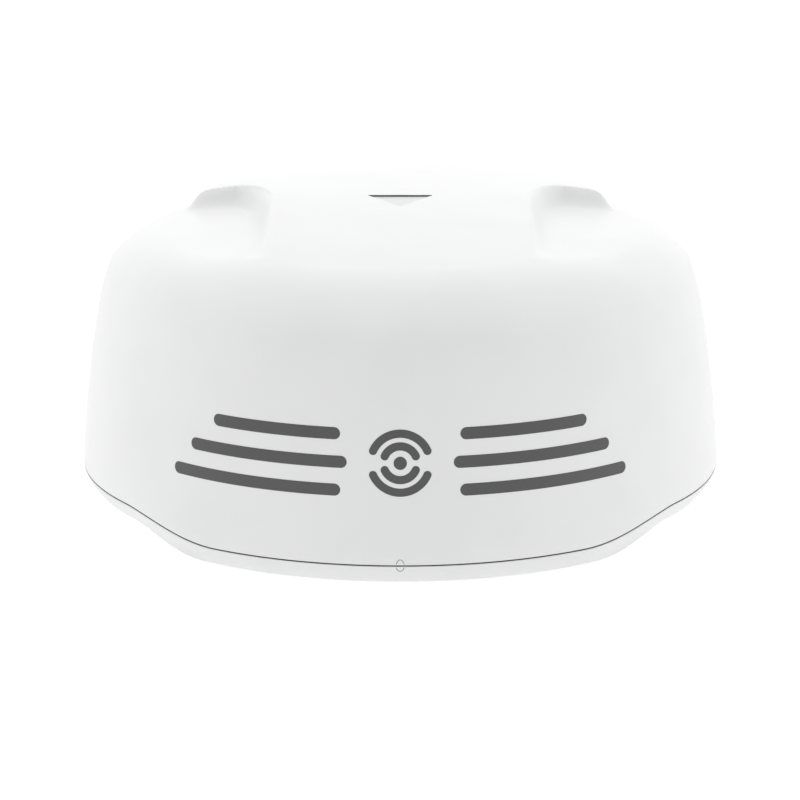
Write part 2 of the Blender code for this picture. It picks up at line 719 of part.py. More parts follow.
def build_motor():
    """Motor under its bracket, with its shaft and toothed pulley on the motor's own axis."""
    axis = (MOTOR_X, 0, 0)
    can = [
        (0, 0.0280), (0.0200, 0.0280), (0.0210, 0.0290), (0.0210, 0.0607), (0.0200, 0.0617),
        (0.0110, 0.0617), (0.0110, 0.0655), (0.0030, 0.0655), (0.0030, 0.0480), (0, 0.0480),
    ]
    place("motor_body", turned("motor_body", can, 24), "motor_paint", axis)
    build_motor_bracket()
    spin = axis_empty("motor_axis", axis)
    shaft = [(0, 0.0490), (0.0026, 0.0490), (0.0026, 0.0812), (0, 0.0812)]
    place("motor_shaft", turned("motor_shaft", shaft, 16), "steel", parent=spin)
    place("motor_pulley", toothed_pulley_mesh(), "aluminium", parent=spin)


def build_motor_bracket():
    """Folded bracket: two feet, two legs and a top plate that holds the motor by its boss."""
    floor = CHASSIS_Z[1] + GAP
    sheet, leg, foot, top = 0.003, 0.0235, 0.0385, 0.0650
    half = [(foot, floor), (foot, floor + sheet), (leg + sheet, floor + sheet), (leg + sheet, top)]
    inner = [(leg, top - sheet), (leg, floor)]
    outline = half + [(-y, z) for y, z in reversed(half)]
    outline += [(-y, z) for y, z in reversed(inner)] + inner
    mesh = extruded("motor_bracket", outline, MOTOR_X - 0.024, MOTOR_X + 0.024, "yz")
    bracket = place("motor_bracket", mesh, "steel")

    def boss_hole(bm):
        add_cylinder(bm, MOTOR_X, 0, top - 0.01, top + 0.01, 0.0115)

    modify(bracket, "DIFFERENCE", "boss_hole", boss_hole)


def toothed_pulley_mesh():
    """Motor pulley: a toothed rim between two flanges, bored for the shaft."""
    sides = 2 * MOTOR_TEETH
    low, high = PULLEY_Z
    tooth = [MOTOR_PULLEY_RADIUS if i % 2 else MOTOR_PULLEY_RADIUS - 0.0009 for i in range(sides)]

    def toothed(z):
        return [point * (r / MOTOR_PULLEY_RADIUS) + Vector((0, 0, z))
                for point, r in zip(circle(MOTOR_PULLEY_RADIUS, 0, sides), tooth)]

    rings = [
        circle(0.0029, low, sides), circle(0.0118, low, sides), circle(0.0118, low + FLANGE, sides),
        toothed(low + FLANGE), toothed(high - FLANGE),
        circle(0.0118, high - FLANGE, sides), circle(0.0118, high, sides), circle(0.0029, high, sides),
    ]
    return ringed_mesh("motor_pulley", rings, looped=True)


def belt_outline(offset):
    """Path round both pulleys at an offset from their rims: two arcs and two tangents."""
    driven = DRIVEN_RADIUS + offset
    driver = MOTOR_PULLEY_RADIUS + offset
    touch = math.acos((driven - driver) / MOTOR_X)
    points = []
    for i in range(31):
        angle = touch + (2 * math.pi - 2 * touch) * i / 30
        points.append((driven * math.cos(angle), driven * math.sin(angle)))
    for i in range(13):
        angle = -touch + 2 * touch * i / 12
        points.append((MOTOR_X + driver * math.cos(angle), driver * math.sin(angle)))
    return points


def build_belt():
    """Timing belt, a closed band round both pulleys between their flanges."""
    low = PULLEY_Z[0] + FLANGE + BELT_CLEARANCE
    high = PULLEY_Z[1] - FLANGE - BELT_CLEARANCE
    outer = belt_outline(BELT_CLEARANCE + BELT_THICKNESS)
    inner = belt_outline(BELT_CLEARANCE)
    rings = []
    for path, z in ((outer, low), (outer, high), (inner, high), (inner, low)):
        rings.append([Vector((x, y, z)) for x, y in path])
    place("timing_belt", ringed_mesh("timing_belt", rings, looped=True), "rubber")


# ---------------------------------------------------------------- rotating antenna

def build_spindle(rotor):
    """Hollow shaft with its top flange, the driven pulley, the index magnet and the slip ring's top."""
    flange_low, flange_high = 0.0805, 0.0860
    profile = [(0.0090, 0.0340), (SHAFT_RADIUS, 0.0340), (SHAFT_RADIUS, flange_low), (0.032, flange_low),
               (0.032, flange_high), (0.0090, flange_high)]
    shaft = place("spindle_shaft", turned("spindle_shaft", profile, 24), "steel", parent=rotor)

    def holes(bm):
        for x, y in bracket_screw_places():
            add_cylinder(bm, x, y, flange_low - 0.002, flange_high + 0.002, 0.0018, 12)

    modify(shaft, "DIFFERENCE", "shaft_holes", holes)

    low, high = PULLEY_Z
    rim = [
        (0.0150, low), (0.0490, low), (0.0490, low + FLANGE), (DRIVEN_RADIUS, low + FLANGE),
        (DRIVEN_RADIUS, high - FLANGE), (0.0490, high - FLANGE), (0.0490, high), (0.0405, high),
        (0.0405, low + 0.004), (0.0330, low + 0.004), (0.0330, high), (0.0150, high),
    ]
    place("driven_pulley", turned("driven_pulley", rim, 36), "black_plastic", parent=rotor)
    magnet = [(0, 0.0655), (0.0030, 0.0655), (0.0030, low - GAP), (0, low - GAP)]
    mesh = turned("index_magnet", magnet, 16)
    place("index_magnet", mesh, "steel", (-0.0412, 0, 0), rotor)
    cap = [(0, 0.0715), (0.0082, 0.0715), (0.0082, 0.0896), (0.0160, 0.0896), (0.0160, 0.0926),
           (0.0100, 0.0926), (0.0100, 0.1030), (0.0090, 0.1040), (0, 0.1040)]
    place("slip_ring_rotor", turned("slip_ring_rotor", cap, 20), "black_plastic", parent=rotor)


def bracket_screw_places():
    """Centres of the four screws between the bracket and the shaft's flange."""
    return [(sx * 0.0165, sy * 0.0165) for sy in (-1, 1) for sx in (-1, 1)]


def build_turntable_bracket(rotor):
    """Folded bracket: a level plate on the shaft and an upright that carries the array."""
    low, high = BRACKET_Z
    outline = [
        (UPRIGHT_Y[0], low), (0.045, low), (0.045, high), (UPRIGHT_Y[1] + 0.002, high),
        (UPRIGHT_Y[1], high + 0.002), (UPRIGHT_Y[1], UPRIGHT_TOP), (UPRIGHT_Y[0], UPRIGHT_TOP),
    ]
    mesh = extruded("turntable_bracket", outline, -0.070, 0.070, "yz")
    bracket = place("turntable_bracket", mesh, "aluminium", parent=rotor)

    def holes(bm):
        add_cylinder(bm, 0, 0, low - 0.002, high + 0.002, 0.0098)
        for x, y in bracket_screw_places():
            add_cylinder(bm, x, y, low - 0.002, high + 0.002, 0.0018, 12)

    modify(bracket, "DIFFERENCE", "bracket_holes", holes)
    profile = [(0, 0.0815), (0.0015, 0.0815), (0.0015, 0.0896), (0.0032, 0.0896), (0.0032, 0.0914),
               (0.0026, 0.0920), (0, 0.0920)]
    screw = turned("bracket_screw", profile, 12)
    for number, (x, y) in enumerate(bracket_screw_places(), 1):
        place(f"bracket_screw_{number}", screw, "steel", (x, y, 0), rotor)


def build_array(rotor):
    """Antenna array: an aluminium back tray and the printed board in its face."""
    front = ARRAY_BACK_Y - ARRAY_DEPTH
    low = (-ARRAY_HALF, front, ARRAY_Z[0])
    high = (ARRAY_HALF, ARRAY_BACK_Y, ARRAY_Z[1])
    tray = place("antenna_backplate", box("antenna_backplate", low, high, 0.0025), "aluminium", parent=rotor)
    rim, recess = 0.0045, 0.004

    def face_recess(bm):
        add_box(bm, (low[0] + rim, front - 0.01, low[2] + rim),
                (high[0] - rim, front + recess, high[2] - rim))

    def back_recesses(bm):
        for side in (-1, 1):
            near, far = sorted((side * 0.078, side * 0.199))
            add_box(bm, (near, ARRAY_BACK_Y - 0.006, low[2] + 0.006),
                    (far, ARRAY_BACK_Y + 0.01, high[2] - 0.006))

    modify(tray, "DIFFERENCE", "face_recess", face_recess)
    modify(tray, "DIFFERENCE", "back_recesses", back_recesses)
    inset = rim + GAP
    board_low = (low[0] + inset, front + recess - GAP - 0.0020, low[2] + inset)
    board_high = (high[0] - inset, front + recess - GAP, high[2] - inset)
    place("antenna_panel", box("antenna_panel", board_low, board_high), "array_board", parent=rotor)


def build_transceiver(rotor):
    """Transceiver box behind the upright, its finned heat sink and the coax to the array."""
    low = (-0.060, UPRIGHT_Y[1] + GAP, 0.110)
    high = (0.060, 0.020, 0.170)
    case = place("rf_module", box("rf_module", low, high, 0.002), "aluminium", parent=rotor)
    wall = 0.004

    def inside(bm):
        add_box(bm, (low[0] + wall, low[1] - 0.01, low[2] + wall),
                (high[0] - wall, high[1] - wall, high[2] - wall))

    modify(case, "DIFFERENCE", "case_inside", inside)
    place("rf_heatsink", heatsink_mesh(high[1] + GAP), "aluminium", parent=rotor)
    route = [(high[0] + GAP, -0.008, 0.140), (0.068, -0.008, 0.140), (0.094, -0.012, 0.141),
             (0.100, -0.030, 0.143), (0.100, ARRAY_BACK_Y - 0.006 + GAP, 0.143)]
    cable("coax_jumper", route, 0.0018, rotor)


def heatsink_mesh(back):
    """Finned block: an even comb outline extruded upwards."""
    fins, pitch, thickness, web, height = 10, 0.011, 0.003, 0.004, 0.022
    start = -(fins - 1) * pitch / 2
    outline = [(start - thickness / 2, back)]
    for number in range(fins):
        x = start + number * pitch
        outline += [(x - thickness / 2, back + height), (x + thickness / 2, back + height)]
        if number < fins - 1:
            outline += [(x + thickness / 2, back + web), (x + pitch - thickness / 2, back + web)]
    outline.append((-start + thickness / 2, back))
    return extruded("rf_heatsink", outline, 0.113, 0.167)


# ---------------------------------------------------------------- harness

def curve_through(route, steps=4):
    """Smooth points through a route, as a Catmull-Rom curve."""
    points = [Vector(point) for point in route]
    padded = [2 * points[0] - points[1]] + points + [2 * points[-1] - points[-2]]
    smooth = []
    for a, b, c, d in zip(padded, padded[1:], padded[2:], padded[3:]):
        for i in range(steps):
            t = i / steps
            smooth.append(0.5 * (2 * b + (c - a) * t + (2 * a - 5 * b + 4 * c - d) * t * t
                                 + (3 * b - a - 3 * c + d) * t ** 3))
    return smooth + [points[-1]]


def cable(name, route, radius, parent=None):
    """Round cable along a smooth route, with flat ends."""
    curve = bpy.data.curves.new(name, "CURVE")
    curve.dimensions = "3D"
    curve.bevel_depth = radius
    curve.bevel_resolution = 2
    curve.use_fill_caps = True
    points = curve_through(route)
    spline = curve.splines.new("POLY")
    spline.points.add(len(points) - 1)
    for slot, point in zip(spline.points, points):
        slot.co = (*point, 1)
    curve.materials.append(material("cable_jacket"))
    body = bpy.data.objects.new(name, curve)
    body.parent = parent
    bpy.context.collection.objects.link(body)


def build_harness():
    """Leads from the two sockets to the board, and from the motor to its power module."""
    power = [(-SOCKET_X, SOCKET_Y, 0.0366), (-SOCKET_X, SOCKET_Y, 0.0440), (-0.027, 0.168, 0.0515),
             (-0.038, 0.146, 0.052),
             (-0.060, 0.108, 0.043), (-0.090, 0.080, 0.0395), (-0.096, 0.058, 0.0380)]
    network = [(SOCKET_X, SOCKET_Y, 0.0366), (SOCKET_X, SOCKET_Y, 0.0440), (0.020, 0.168, 0.0505),
             (0.008, 0.146, 0.050),
               (-0.030, 0.096, 0.040), (-0.064, 0.074, 0.0390), (-0.072, 0.056, 0.0375)]
    motor = [(MOTOR_X + 0.0218, 0, 0.040), (0.1125, -0.001, 0.040), (0.119, -0.014, 0.036),
             (0.117, -0.045, 0.031), (0.085, -0.078, 0.031), (0.052, -0.090, 0.037), (0.0458, -0.090, 0.037)]
    cable("power_cable", power, 0.0028)
    cable("network_cable", network, 0.0024)
    cable("motor_cable", motor, 0.0020)


def main():
    """Build the whole radar."""
    clear_scene()
    lift = axis_empty("dome_lift_axis")
    rotor = axis_empty("antenna_axis")
    build_dome(lift)
    build_base_housing()
    build_seam_gasket()
    build_cover_screws()
    build_mount_bushes()
    build_underside_fittings()
    build_chassis()
    build_electronics()
    build_bearing_housing()
    build_slip_ring_stator()
    build_index_sensor()
    build_motor()
    build_belt()
    build_spindle(rotor)
    build_turntable_bracket(rotor)
    build_array(rotor)
    build_transceiver(rotor)
    build_harness()


main()
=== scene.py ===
"""Looks of the radar dome antenna: its moulded dome and base, and the mechanism under the dome.

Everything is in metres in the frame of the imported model: +Z up, -Y towards the bow, origin at the
centre of the mounting face. An azimuth is measured from the bow towards +X.
"""
import logging
import math
from dataclasses import dataclass, field
from enum import Enum
from typing import Callable, ClassVar, Iterable, Sequence

import bmesh
import bpy
import numpy as np
from mathutils import Matrix, Vector


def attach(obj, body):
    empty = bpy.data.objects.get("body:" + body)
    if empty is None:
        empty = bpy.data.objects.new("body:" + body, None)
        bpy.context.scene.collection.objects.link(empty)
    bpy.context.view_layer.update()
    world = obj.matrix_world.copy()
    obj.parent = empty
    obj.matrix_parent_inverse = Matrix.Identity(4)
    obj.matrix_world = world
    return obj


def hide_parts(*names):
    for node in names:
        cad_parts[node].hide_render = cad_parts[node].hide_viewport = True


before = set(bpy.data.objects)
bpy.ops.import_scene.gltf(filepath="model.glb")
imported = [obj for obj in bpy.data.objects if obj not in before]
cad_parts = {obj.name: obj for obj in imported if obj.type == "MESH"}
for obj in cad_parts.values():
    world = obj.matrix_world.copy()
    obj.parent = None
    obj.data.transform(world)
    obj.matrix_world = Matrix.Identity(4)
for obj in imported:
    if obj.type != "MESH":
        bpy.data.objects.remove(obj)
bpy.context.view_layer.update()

LOG = logging.getLogger("radar")
GAP = 0.0003

Point = tuple[float, float, float]
Pair = tuple[float, float]
Colour = tuple[float, float, float]
Profile = tuple[Pair, ...]
Mesh = bpy.types.Mesh
Socket = bpy.types.NodeSocket
BMesh = bmesh.types.BMesh


# ---------------------------------------------------------------- shader maths

class Wire:
    """A value socket in a node tree, on which Python arithmetic adds Math nodes."""

    def __init__(self, graph: "Graph", socket: Socket) -> None:
        """Wrap a socket.

        Args:
            graph: The graph that owns the socket's node.
            socket: The output socket.
        """
        self.graph = graph
        self.socket = socket

    def _math(self, operation: str, first: object, second: object) -> "Wire":
        """Add a Math node and return its result."""
        node = self.graph.node("ShaderNodeMath", {"operation": operation}, {0: first, 1: second})
        return Wire(self.graph, node.outputs[0])

    def __add__(self, other: object) -> "Wire":
        """Sum."""
        return self._math("ADD", self, other)

    __radd__ = __add__

    def __mul__(self, other: object) -> "Wire":
        """Product."""
        return self._math("MULTIPLY", self, other)

    __rmul__ = __mul__

    def larger(self, other: object) -> "Wire":
        """Larger of this and another value."""
        return self._math("MAXIMUM", self, other)

    def ease(self, low: float, high: float) -> "Wire":
        """Smooth step from 0 at low to 1 at high."""
        node = self.graph.node(
            "ShaderNodeMapRange", {"interpolation_type": "SMOOTHSTEP"}, {"Value": self, 1: low, 2: high})
        return Wire(self.graph, node.outputs[0])


class Graph:
    """The node tree of one material, with its Principled shader."""

    def __init__(self, name: str) -> None:
        """Make a material with a bare Principled shader.

        Args:
            name: The material's name.
        """
        self.material = bpy.data.materials.new(name)
        self.material.use_nodes = True
        self.tree = self.material.node_tree
        self.shader = self.tree.nodes["Principled BSDF"]
        coordinates = self.tree.nodes.new("ShaderNodeTexCoord")
        self.place = coordinates.outputs["Object"]

    def node(self, kind: str, settings: dict | None = None, inputs: dict | None = None) -> bpy.types.Node:
        """Add a node.

        Args:
            kind: The node's type.
            settings: Properties that are set first.
            inputs: Socket names or numbers, with a value, a socket or a Wire for each.

        Returns:
            The node.
        """
        made = self.tree.nodes.new(kind)
        for key, value in (settings or {}).items():
            setattr(made, key, value)
        for key, value in (inputs or {}).items():
            self.feed(made.inputs[key], value)
        return made

    def feed(self, socket: Socket, value: object) -> None:
        """Set a socket to a value, or link a socket or Wire to it.

        Args:
            socket: The socket.
            value: A value, a socket or a Wire.
        """
        if isinstance(value, Wire):
            value = value.socket
        if isinstance(value, Socket):
            self.tree.links.new(value, socket)
        else:
            socket.default_value = value

    def stretched(self, scale: Point) -> Socket:
        """Object coordinates scaled along each axis."""
        made = self.node("ShaderNodeVectorMath", {"operation": "MULTIPLY"}, {0: self.place, 1: scale})
        return made.outputs[0]

    def noise(self, scale: float, detail: float = 2.0, where: object = None) -> Wire:
        """Noise between 0 and 1."""
        made = self.node("ShaderNodeTexNoise", {"noise_dimensions": "3D"},
                         {"Vector": where or self.place, "Scale": scale, "Detail": detail})
        return Wire(self, made.outputs[0])

    def cells(self, scale: float, metric: str = "EUCLIDEAN") -> Wire:
        """Distance to the nearest cell centre of a Voronoi pattern."""
        made = self.node("ShaderNodeTexVoronoi", {"distance": metric}, {"Vector": self.place,
                                                                        "Scale": scale})
        return Wire(self, made.outputs["Distance"])

    def wave(self, scale: float, direction: str, rings: bool = False, distortion: float = 0.0) -> Wire:
        """Bands along an axis, or rings about it.

        Args:
            scale: Scale of the pattern.
            direction: Axis of the pattern.
            rings: Whether the bands are rings.
            distortion: Wobble of the bands.

        Returns:
            The bands.
        """
        settings = {"wave_type": "RINGS" if rings else "BANDS"}
        settings["rings_direction" if rings else "bands_direction"] = direction
        made = self.node("ShaderNodeTexWave", settings,
                         {"Vector": self.place, "Scale": scale, "Distortion": distortion, "Detail": 2.0})
        return Wire(self, made.outputs[1])

    def blend(self, share: object, first: Colour, second: object) -> Socket:
        """Mix two colours by a share."""
        values = {0: share, 6: (*first, 1.0), 7: second if not isinstance(second, tuple) else (*second,
                                                                                               1.0)}
        made = self.node("ShaderNodeMix", {"data_type": "RGBA"}, values)
        return made.outputs[2]

    def bump(self, height: Wire, distance: float) -> None:
        """Turn a height from 0 to 1 into the shader's normal.

        Args:
            height: The height.
            distance: What a height of 1 stands for, in metres.
        """
        made = self.node("ShaderNodeBump", None, {"Height": height, "Distance": distance, "Strength": 1.0})
        self.tree.links.new(made.outputs[0], self.shader.inputs["Normal"])


class Texture(Enum):
    """What a surface's fine structure looks like."""

    MOULDED = "even moulded grain"
    SPARK = "coarser spark-eroded mould texture"
    CAST = "cast skin"
    BRUSHED_X = "grain drawn along X"
    BRUSHED_Z = "grain drawn along Z"
    TURNED = "rings left by a lathe"
    RUBBER = "talc-dull rubber"
    SOLDER_MASK = "solder mask over copper tracks"
    LAMINATE = "woven glass laminate"
    PRINT = "printed ink"


@dataclass(frozen=True)
class Finish:
    """One finish: its colours, its gloss and the scale of its fine structure."""

    name: str
    colour: Colour
    second: Colour
    roughness: float
    spread: float
    texture: Texture
    scale: float
    depth: float
    metallic: float = 0.0
    coat: float = 0.0

    def material(self) -> bpy.types.Material:
        """Return the finish's material, built on first use.

        Returns:
            The material.
        """
        found = bpy.data.materials.get(self.name)
        if found:
            return found
        graph = Graph(self.name)
        height, share = self._structure(graph)
        graph.feed(graph.shader.inputs["Base Color"], graph.blend(share, self.colour, self.second))
        graph.feed(graph.shader.inputs["Roughness"],
                   height * self.spread + (self.roughness - self.spread / 2))
        graph.feed(graph.shader.inputs["Metallic"], self.metallic)
        if self.coat:
            graph.feed(graph.shader.inputs["Coat Weight"], self.coat)
            graph.feed(graph.shader.inputs["Coat Roughness"], 0.12)
        graph.bump(height, self.depth)
        graph.material.diffuse_color = (*self.colour, 1.0)
        return graph.material

    def _structure(self, graph: Graph) -> tuple[Wire, Wire]:
        """Return the height of the fine structure and the share of the second colour.

        Args:
            graph: The finish's graph.

        Returns:
            The fine structure's height and the second colour's share.
        """
        drift = graph.noise(self.scale / 60, 3.0).ease(0.35, 0.7)
        if self.texture in (Texture.BRUSHED_X, Texture.BRUSHED_Z):
            stretch = (0.02, 1.0, 1.0) if self.texture is Texture.BRUSHED_X else (1.0, 1.0, 0.02)
            streaks = graph.noise(self.scale, 4.0, graph.stretched(stretch))
            return streaks, streaks.ease(0.4, 0.75) * 0.7 + drift * 0.3
        if self.texture is Texture.TURNED:
            rings = graph.wave(self.scale, "Z", rings=True, distortion=0.6)
            return rings * 0.6 + graph.noise(self.scale * 2) * 0.4, drift
        if self.texture is Texture.CAST:
            skin = graph.cells(self.scale) * 0.6 + graph.noise(self.scale * 1.7, 4.0) * 0.6
            return skin, skin.ease(0.3, 0.8) * 0.6 + drift * 0.4
        if self.texture is Texture.SOLDER_MASK:
            tracks = graph.wave(self.scale, "X", distortion=3.0).ease(0.72, 0.8)
            crossing = graph.wave(self.scale * 0.8, "Y", distortion=2.0).ease(0.78, 0.86)
            copper = tracks.larger(crossing)
            return copper * 0.8 + graph.noise(self.scale * 8) * 0.2, copper
        if self.texture is Texture.LAMINATE:
            weave = graph.wave(self.scale, "X") * graph.wave(self.scale, "Z")
            return weave, weave * 0.7 + drift * 0.3
        if self.texture is Texture.SPARK:
            pits = graph.cells(self.scale) * 0.7 + graph.noise(self.scale * 2.3, 3.0) * 0.3
            return pits, drift
        grain = graph.noise(self.scale, 3.0)
        return grain, drift


class Finishes:
    """The finishes of this radar, by the piece or metal that they belong to."""

    dome = Finish("dome_gelcoat", (0.875, 0.877, 0.880), (0.855, 0.858, 0.862), 0.34, 0.10,
                  Texture.MOULDED, 900.0, 0.000012, coat=0.08)
    dome_inside = Finish("dome_inside", (0.80, 0.80, 0.79), (0.76, 0.76, 0.75), 0.55, 0.12,
                         Texture.SPARK, 700.0, 0.00002)
    base = Finish("base_moulding", (0.855, 0.857, 0.860), (0.83, 0.833, 0.838), 0.42, 0.12,
                  Texture.SPARK, 1100.0, 0.000018)
    # Dark ink of the printed graphic; the same colour also paints the shade on the arrow's rear step.
    graphite_ink_and_painted_shade = Finish("graphite_ink_and_painted_shade", (0.094, 0.094, 0.096), (0.088, 0.088, 0.090), 0.38, 0.06,
                          Texture.PRINT, 1500.0, 0.000004)
    # Painted shade: a darker copy of the dome's colour, for the arrow's sunken floor.
    arrow_painted_shade = Finish("arrow_painted_shade", (0.775, 0.778, 0.782), (0.755, 0.758, 0.762), 0.42, 0.08,
                        Texture.MOULDED, 900.0, 0.000008)
    mark_line = Finish("engraved_line", (0.25, 0.25, 0.255), (0.22, 0.22, 0.225), 0.5, 0.1,
                       Texture.PRINT, 1500.0, 0.000004)
    seal = Finish("seal_rubber", (0.028, 0.028, 0.030), (0.045, 0.045, 0.046), 0.72, 0.14,
                  Texture.RUBBER, 1600.0, 0.00002)
    cast_aluminium = Finish("cast_aluminium", (0.60, 0.61, 0.63), (0.50, 0.51, 0.53), 0.46, 0.16,
                            Texture.CAST, 900.0, 0.00003, metallic=1.0)
    sheet_aluminium = Finish("sheet_aluminium", (0.68, 0.69, 0.71), (0.58, 0.59, 0.61), 0.36, 0.16,
                             Texture.BRUSHED_X, 1500.0, 0.000008, metallic=1.0)
    turned_aluminium = Finish("turned_aluminium", (0.69, 0.70, 0.72), (0.60, 0.61, 0.63), 0.30, 0.14,
                              Texture.TURNED, 260.0, 0.000006, metallic=1.0)
    stainless = Finish("stainless_steel", (0.57, 0.565, 0.555), (0.48, 0.475, 0.47), 0.26, 0.12,
                       Texture.TURNED, 320.0, 0.000005, metallic=1.0)
    sheet_steel = Finish("zinc_sheet_steel", (0.56, 0.57, 0.58), (0.47, 0.48, 0.50), 0.34, 0.14,
                         Texture.BRUSHED_Z, 900.0, 0.000008, metallic=1.0)
    brass = Finish("turned_brass", (0.78, 0.57, 0.27), (0.66, 0.47, 0.21), 0.28, 0.12,
                   Texture.TURNED, 320.0, 0.000006, metallic=1.0)
    black_nylon = Finish("black_nylon", (0.026, 0.027, 0.030), (0.040, 0.041, 0.044), 0.44, 0.14,
                         Texture.SPARK, 1300.0, 0.00002)
    solder_mask = Finish("solder_mask", (0.010, 0.125, 0.055), (0.030, 0.225, 0.095), 0.34, 0.10,
                         Texture.SOLDER_MASK, 55.0, 0.00003, coat=0.15)
    laminate = Finish("microwave_laminate", (0.50, 0.43, 0.27), (0.44, 0.37, 0.22), 0.46, 0.12,
                      Texture.LAMINATE, 420.0, 0.00001)
    copper = Finish("tinned_copper", (0.86, 0.55, 0.36), (0.78, 0.50, 0.32), 0.28, 0.12,
                    Texture.BRUSHED_X, 1200.0, 0.000004, metallic=1.0)
    gold_pad = Finish("gold_flash", (0.93, 0.70, 0.34), (0.85, 0.62, 0.29), 0.24, 0.10,
                      Texture.MOULDED, 1500.0, 0.000003, metallic=1.0)
    chip = Finish("chip_epoxy", (0.022, 0.022, 0.024), (0.034, 0.034, 0.036), 0.50, 0.12,
                  Texture.SPARK, 2400.0, 0.000012)
    motor_can = Finish("motor_paint", (0.050, 0.051, 0.055), (0.065, 0.066, 0.070), 0.38, 0.12,
                       Texture.MOULDED, 1200.0, 0.000014, metallic=0.2, coat=0.1)
    jacket = Finish("cable_jacket", (0.030, 0.030, 0.033), (0.045, 0.045, 0.048), 0.55, 0.12,
                    Texture.RUBBER, 1400.0, 0.000015)
    white_nylon = Finish("white_nylon", (0.74, 0.73, 0.69), (0.68, 0.67, 0.63), 0.42, 0.12,
                         Texture.MOULDED, 1300.0, 0.00001)


# ---------------------------------------------------------------- mesh tools

def mesh_from(name: str, bm: BMesh, recalculate: bool = True) -> Mesh:
    """Turn a bmesh into a mesh with outward faces.

    Args:
        name: The mesh's name.
        bm: The bmesh, which is freed.
        recalculate: Whether the faces are turned outwards.

    Returns:
        The mesh.
    """
    if recalculate:
        bmesh.ops.recalc_face_normals(bm, faces=bm.faces)
    made = bpy.data.meshes.new(name)
    bm.to_mesh(made)
    bm.free()
    return made


def smooth(mesh: Mesh, angle: float = 32.0) -> Mesh:
    """Shade a mesh smooth except where its faces meet at more than an angle in degrees."""
    mesh.shade_smooth()
    mesh.set_sharp_from_angle(angle=math.radians(angle))
    return mesh


def rounded(profile: Sequence[Pair], radius: float, steps: int = 3) -> list[Pair]:
    """Round the inner corners of an open profile.

    Args:
        profile: Corner points.
        radius: Radius of the rounding, cut down where a side is short.
        steps: Points in place of each corner, less one.

    Returns:
        The rounded profile.
    """
    points = [Vector(p) for p in profile]
    out = [tuple(points[0])]
    for before, corner, after in zip(points, points[1:], points[2:]):
        into, away = before - corner, after - corner
        reach = min(radius, into.length * 0.45, away.length * 0.45)
        start = corner + into.normalized() * reach
        end = corner + away.normalized() * reach
        for i in range(steps + 1):
            t = i / steps
            out.append(tuple(start.lerp(corner, t).lerp(corner.lerp(end, t), t)))
    out.append(tuple(points[-1]))
    return out


def lathe(name: str, profile: Sequence[Pair], sides: int = 64, fillet: float = 0.0004,
          centre: Point = (0.0, 0.0, 0.0)) -> Mesh:
    """Turn a profile about an upright axis.

    Args:
        name: The mesh's name.
        profile: (radius, height) points; one that starts on the axis also ends on it, and any
            other closes on itself.
        sides: Steps round the axis.
        fillet: Radius that softens the corners.
        centre: Foot of the axis.

    Returns:
        The closed mesh.
    """
    hollow = profile[0][0] > 0
    points = list(profile)
    if hollow:
        middle = tuple((Vector(points[0]) + Vector(points[-1])) / 2)
        points = [middle] + points + [middle]
    if fillet:
        points = rounded(points, fillet)
    if hollow:
        points = points[:-1]
    bm = bmesh.new()
    rows = []
    for radius, z in points:
        if radius <= 1e-9:
            rows.append([bm.verts.new((0, 0, z))])
            continue
        turns = (2 * math.pi * i / sides for i in range(sides))
        rows.append([bm.verts.new((radius * math.sin(a), -radius * math.cos(a), z)) for a in turns])
    pairs = list(zip(rows, rows[1:])) + ([(rows[-1], rows[0])] if hollow else [])
    for lower, upper in pairs:
        for i in range(sides):
            j = (i + 1) % sides
            corners = [lower[i % len(lower)], lower[j % len(lower)], upper[j % len(upper)],
                       upper[i % len(upper)]]
            unique = list(dict.fromkeys(corners))
            if len(unique) > 2:
                bm.faces.new(unique)
    bmesh.ops.translate(bm, verts=bm.verts, vec=centre)
    return smooth(mesh_from(name, bm))


def block(low: Point, high: Point, bevel: float = 0.0006, segments: int = 2) -> Mesh:
    """Box between two corners with rounded edges.

    Args:
        low: Lowest corner.
        high: Highest corner.
        bevel: Width of the bevel; 0 for none.
        segments: Steps of the bevel.

    Returns:
        The box.
    """
    bm = bmesh.new()
    verts = bmesh.ops.create_cube(bm, size=1)["verts"]
    for vert in verts:
        vert.co = Vector([lo + (c + 0.5) * (hi - lo) for c, lo, hi in zip(vert.co, low, high)])
    if bevel:
        bmesh.ops.bevel(bm, geom=bm.edges[:], offset=bevel, segments=segments, affect="EDGES", profile=0.6)
    return smooth(mesh_from("block", bm))


def drum(x: float, y: float, low: float, high: float, radius: float, sides: int = 32,
         bevel: float = 0.0) -> Mesh:
    """Upright cylinder, its rims bevelled.

    Args:
        x: Place along X.
        y: Place along Y.
        low: Height of the foot.
        high: Height of the top.
        radius: The cylinder's radius.
        sides: Steps round the axis.
        bevel: Width of the bevel; 0 for none.

    Returns:
        The cylinder.
    """
    bm = bmesh.new()
    bmesh.ops.create_cone(bm, cap_ends=True, segments=sides, radius1=radius, radius2=radius,
                          depth=high - low)
    if bevel:
        rims = [e for e in bm.edges if abs(e.verts[0].co.z - e.verts[1].co.z) < 1e-9]
        bmesh.ops.bevel(bm, geom=rims, offset=bevel, segments=2, affect="EDGES", profile=0.6)
    bmesh.ops.translate(bm, verts=bm.verts, vec=(x, y, (low + high) / 2))
    return smooth(mesh_from("drum", bm))


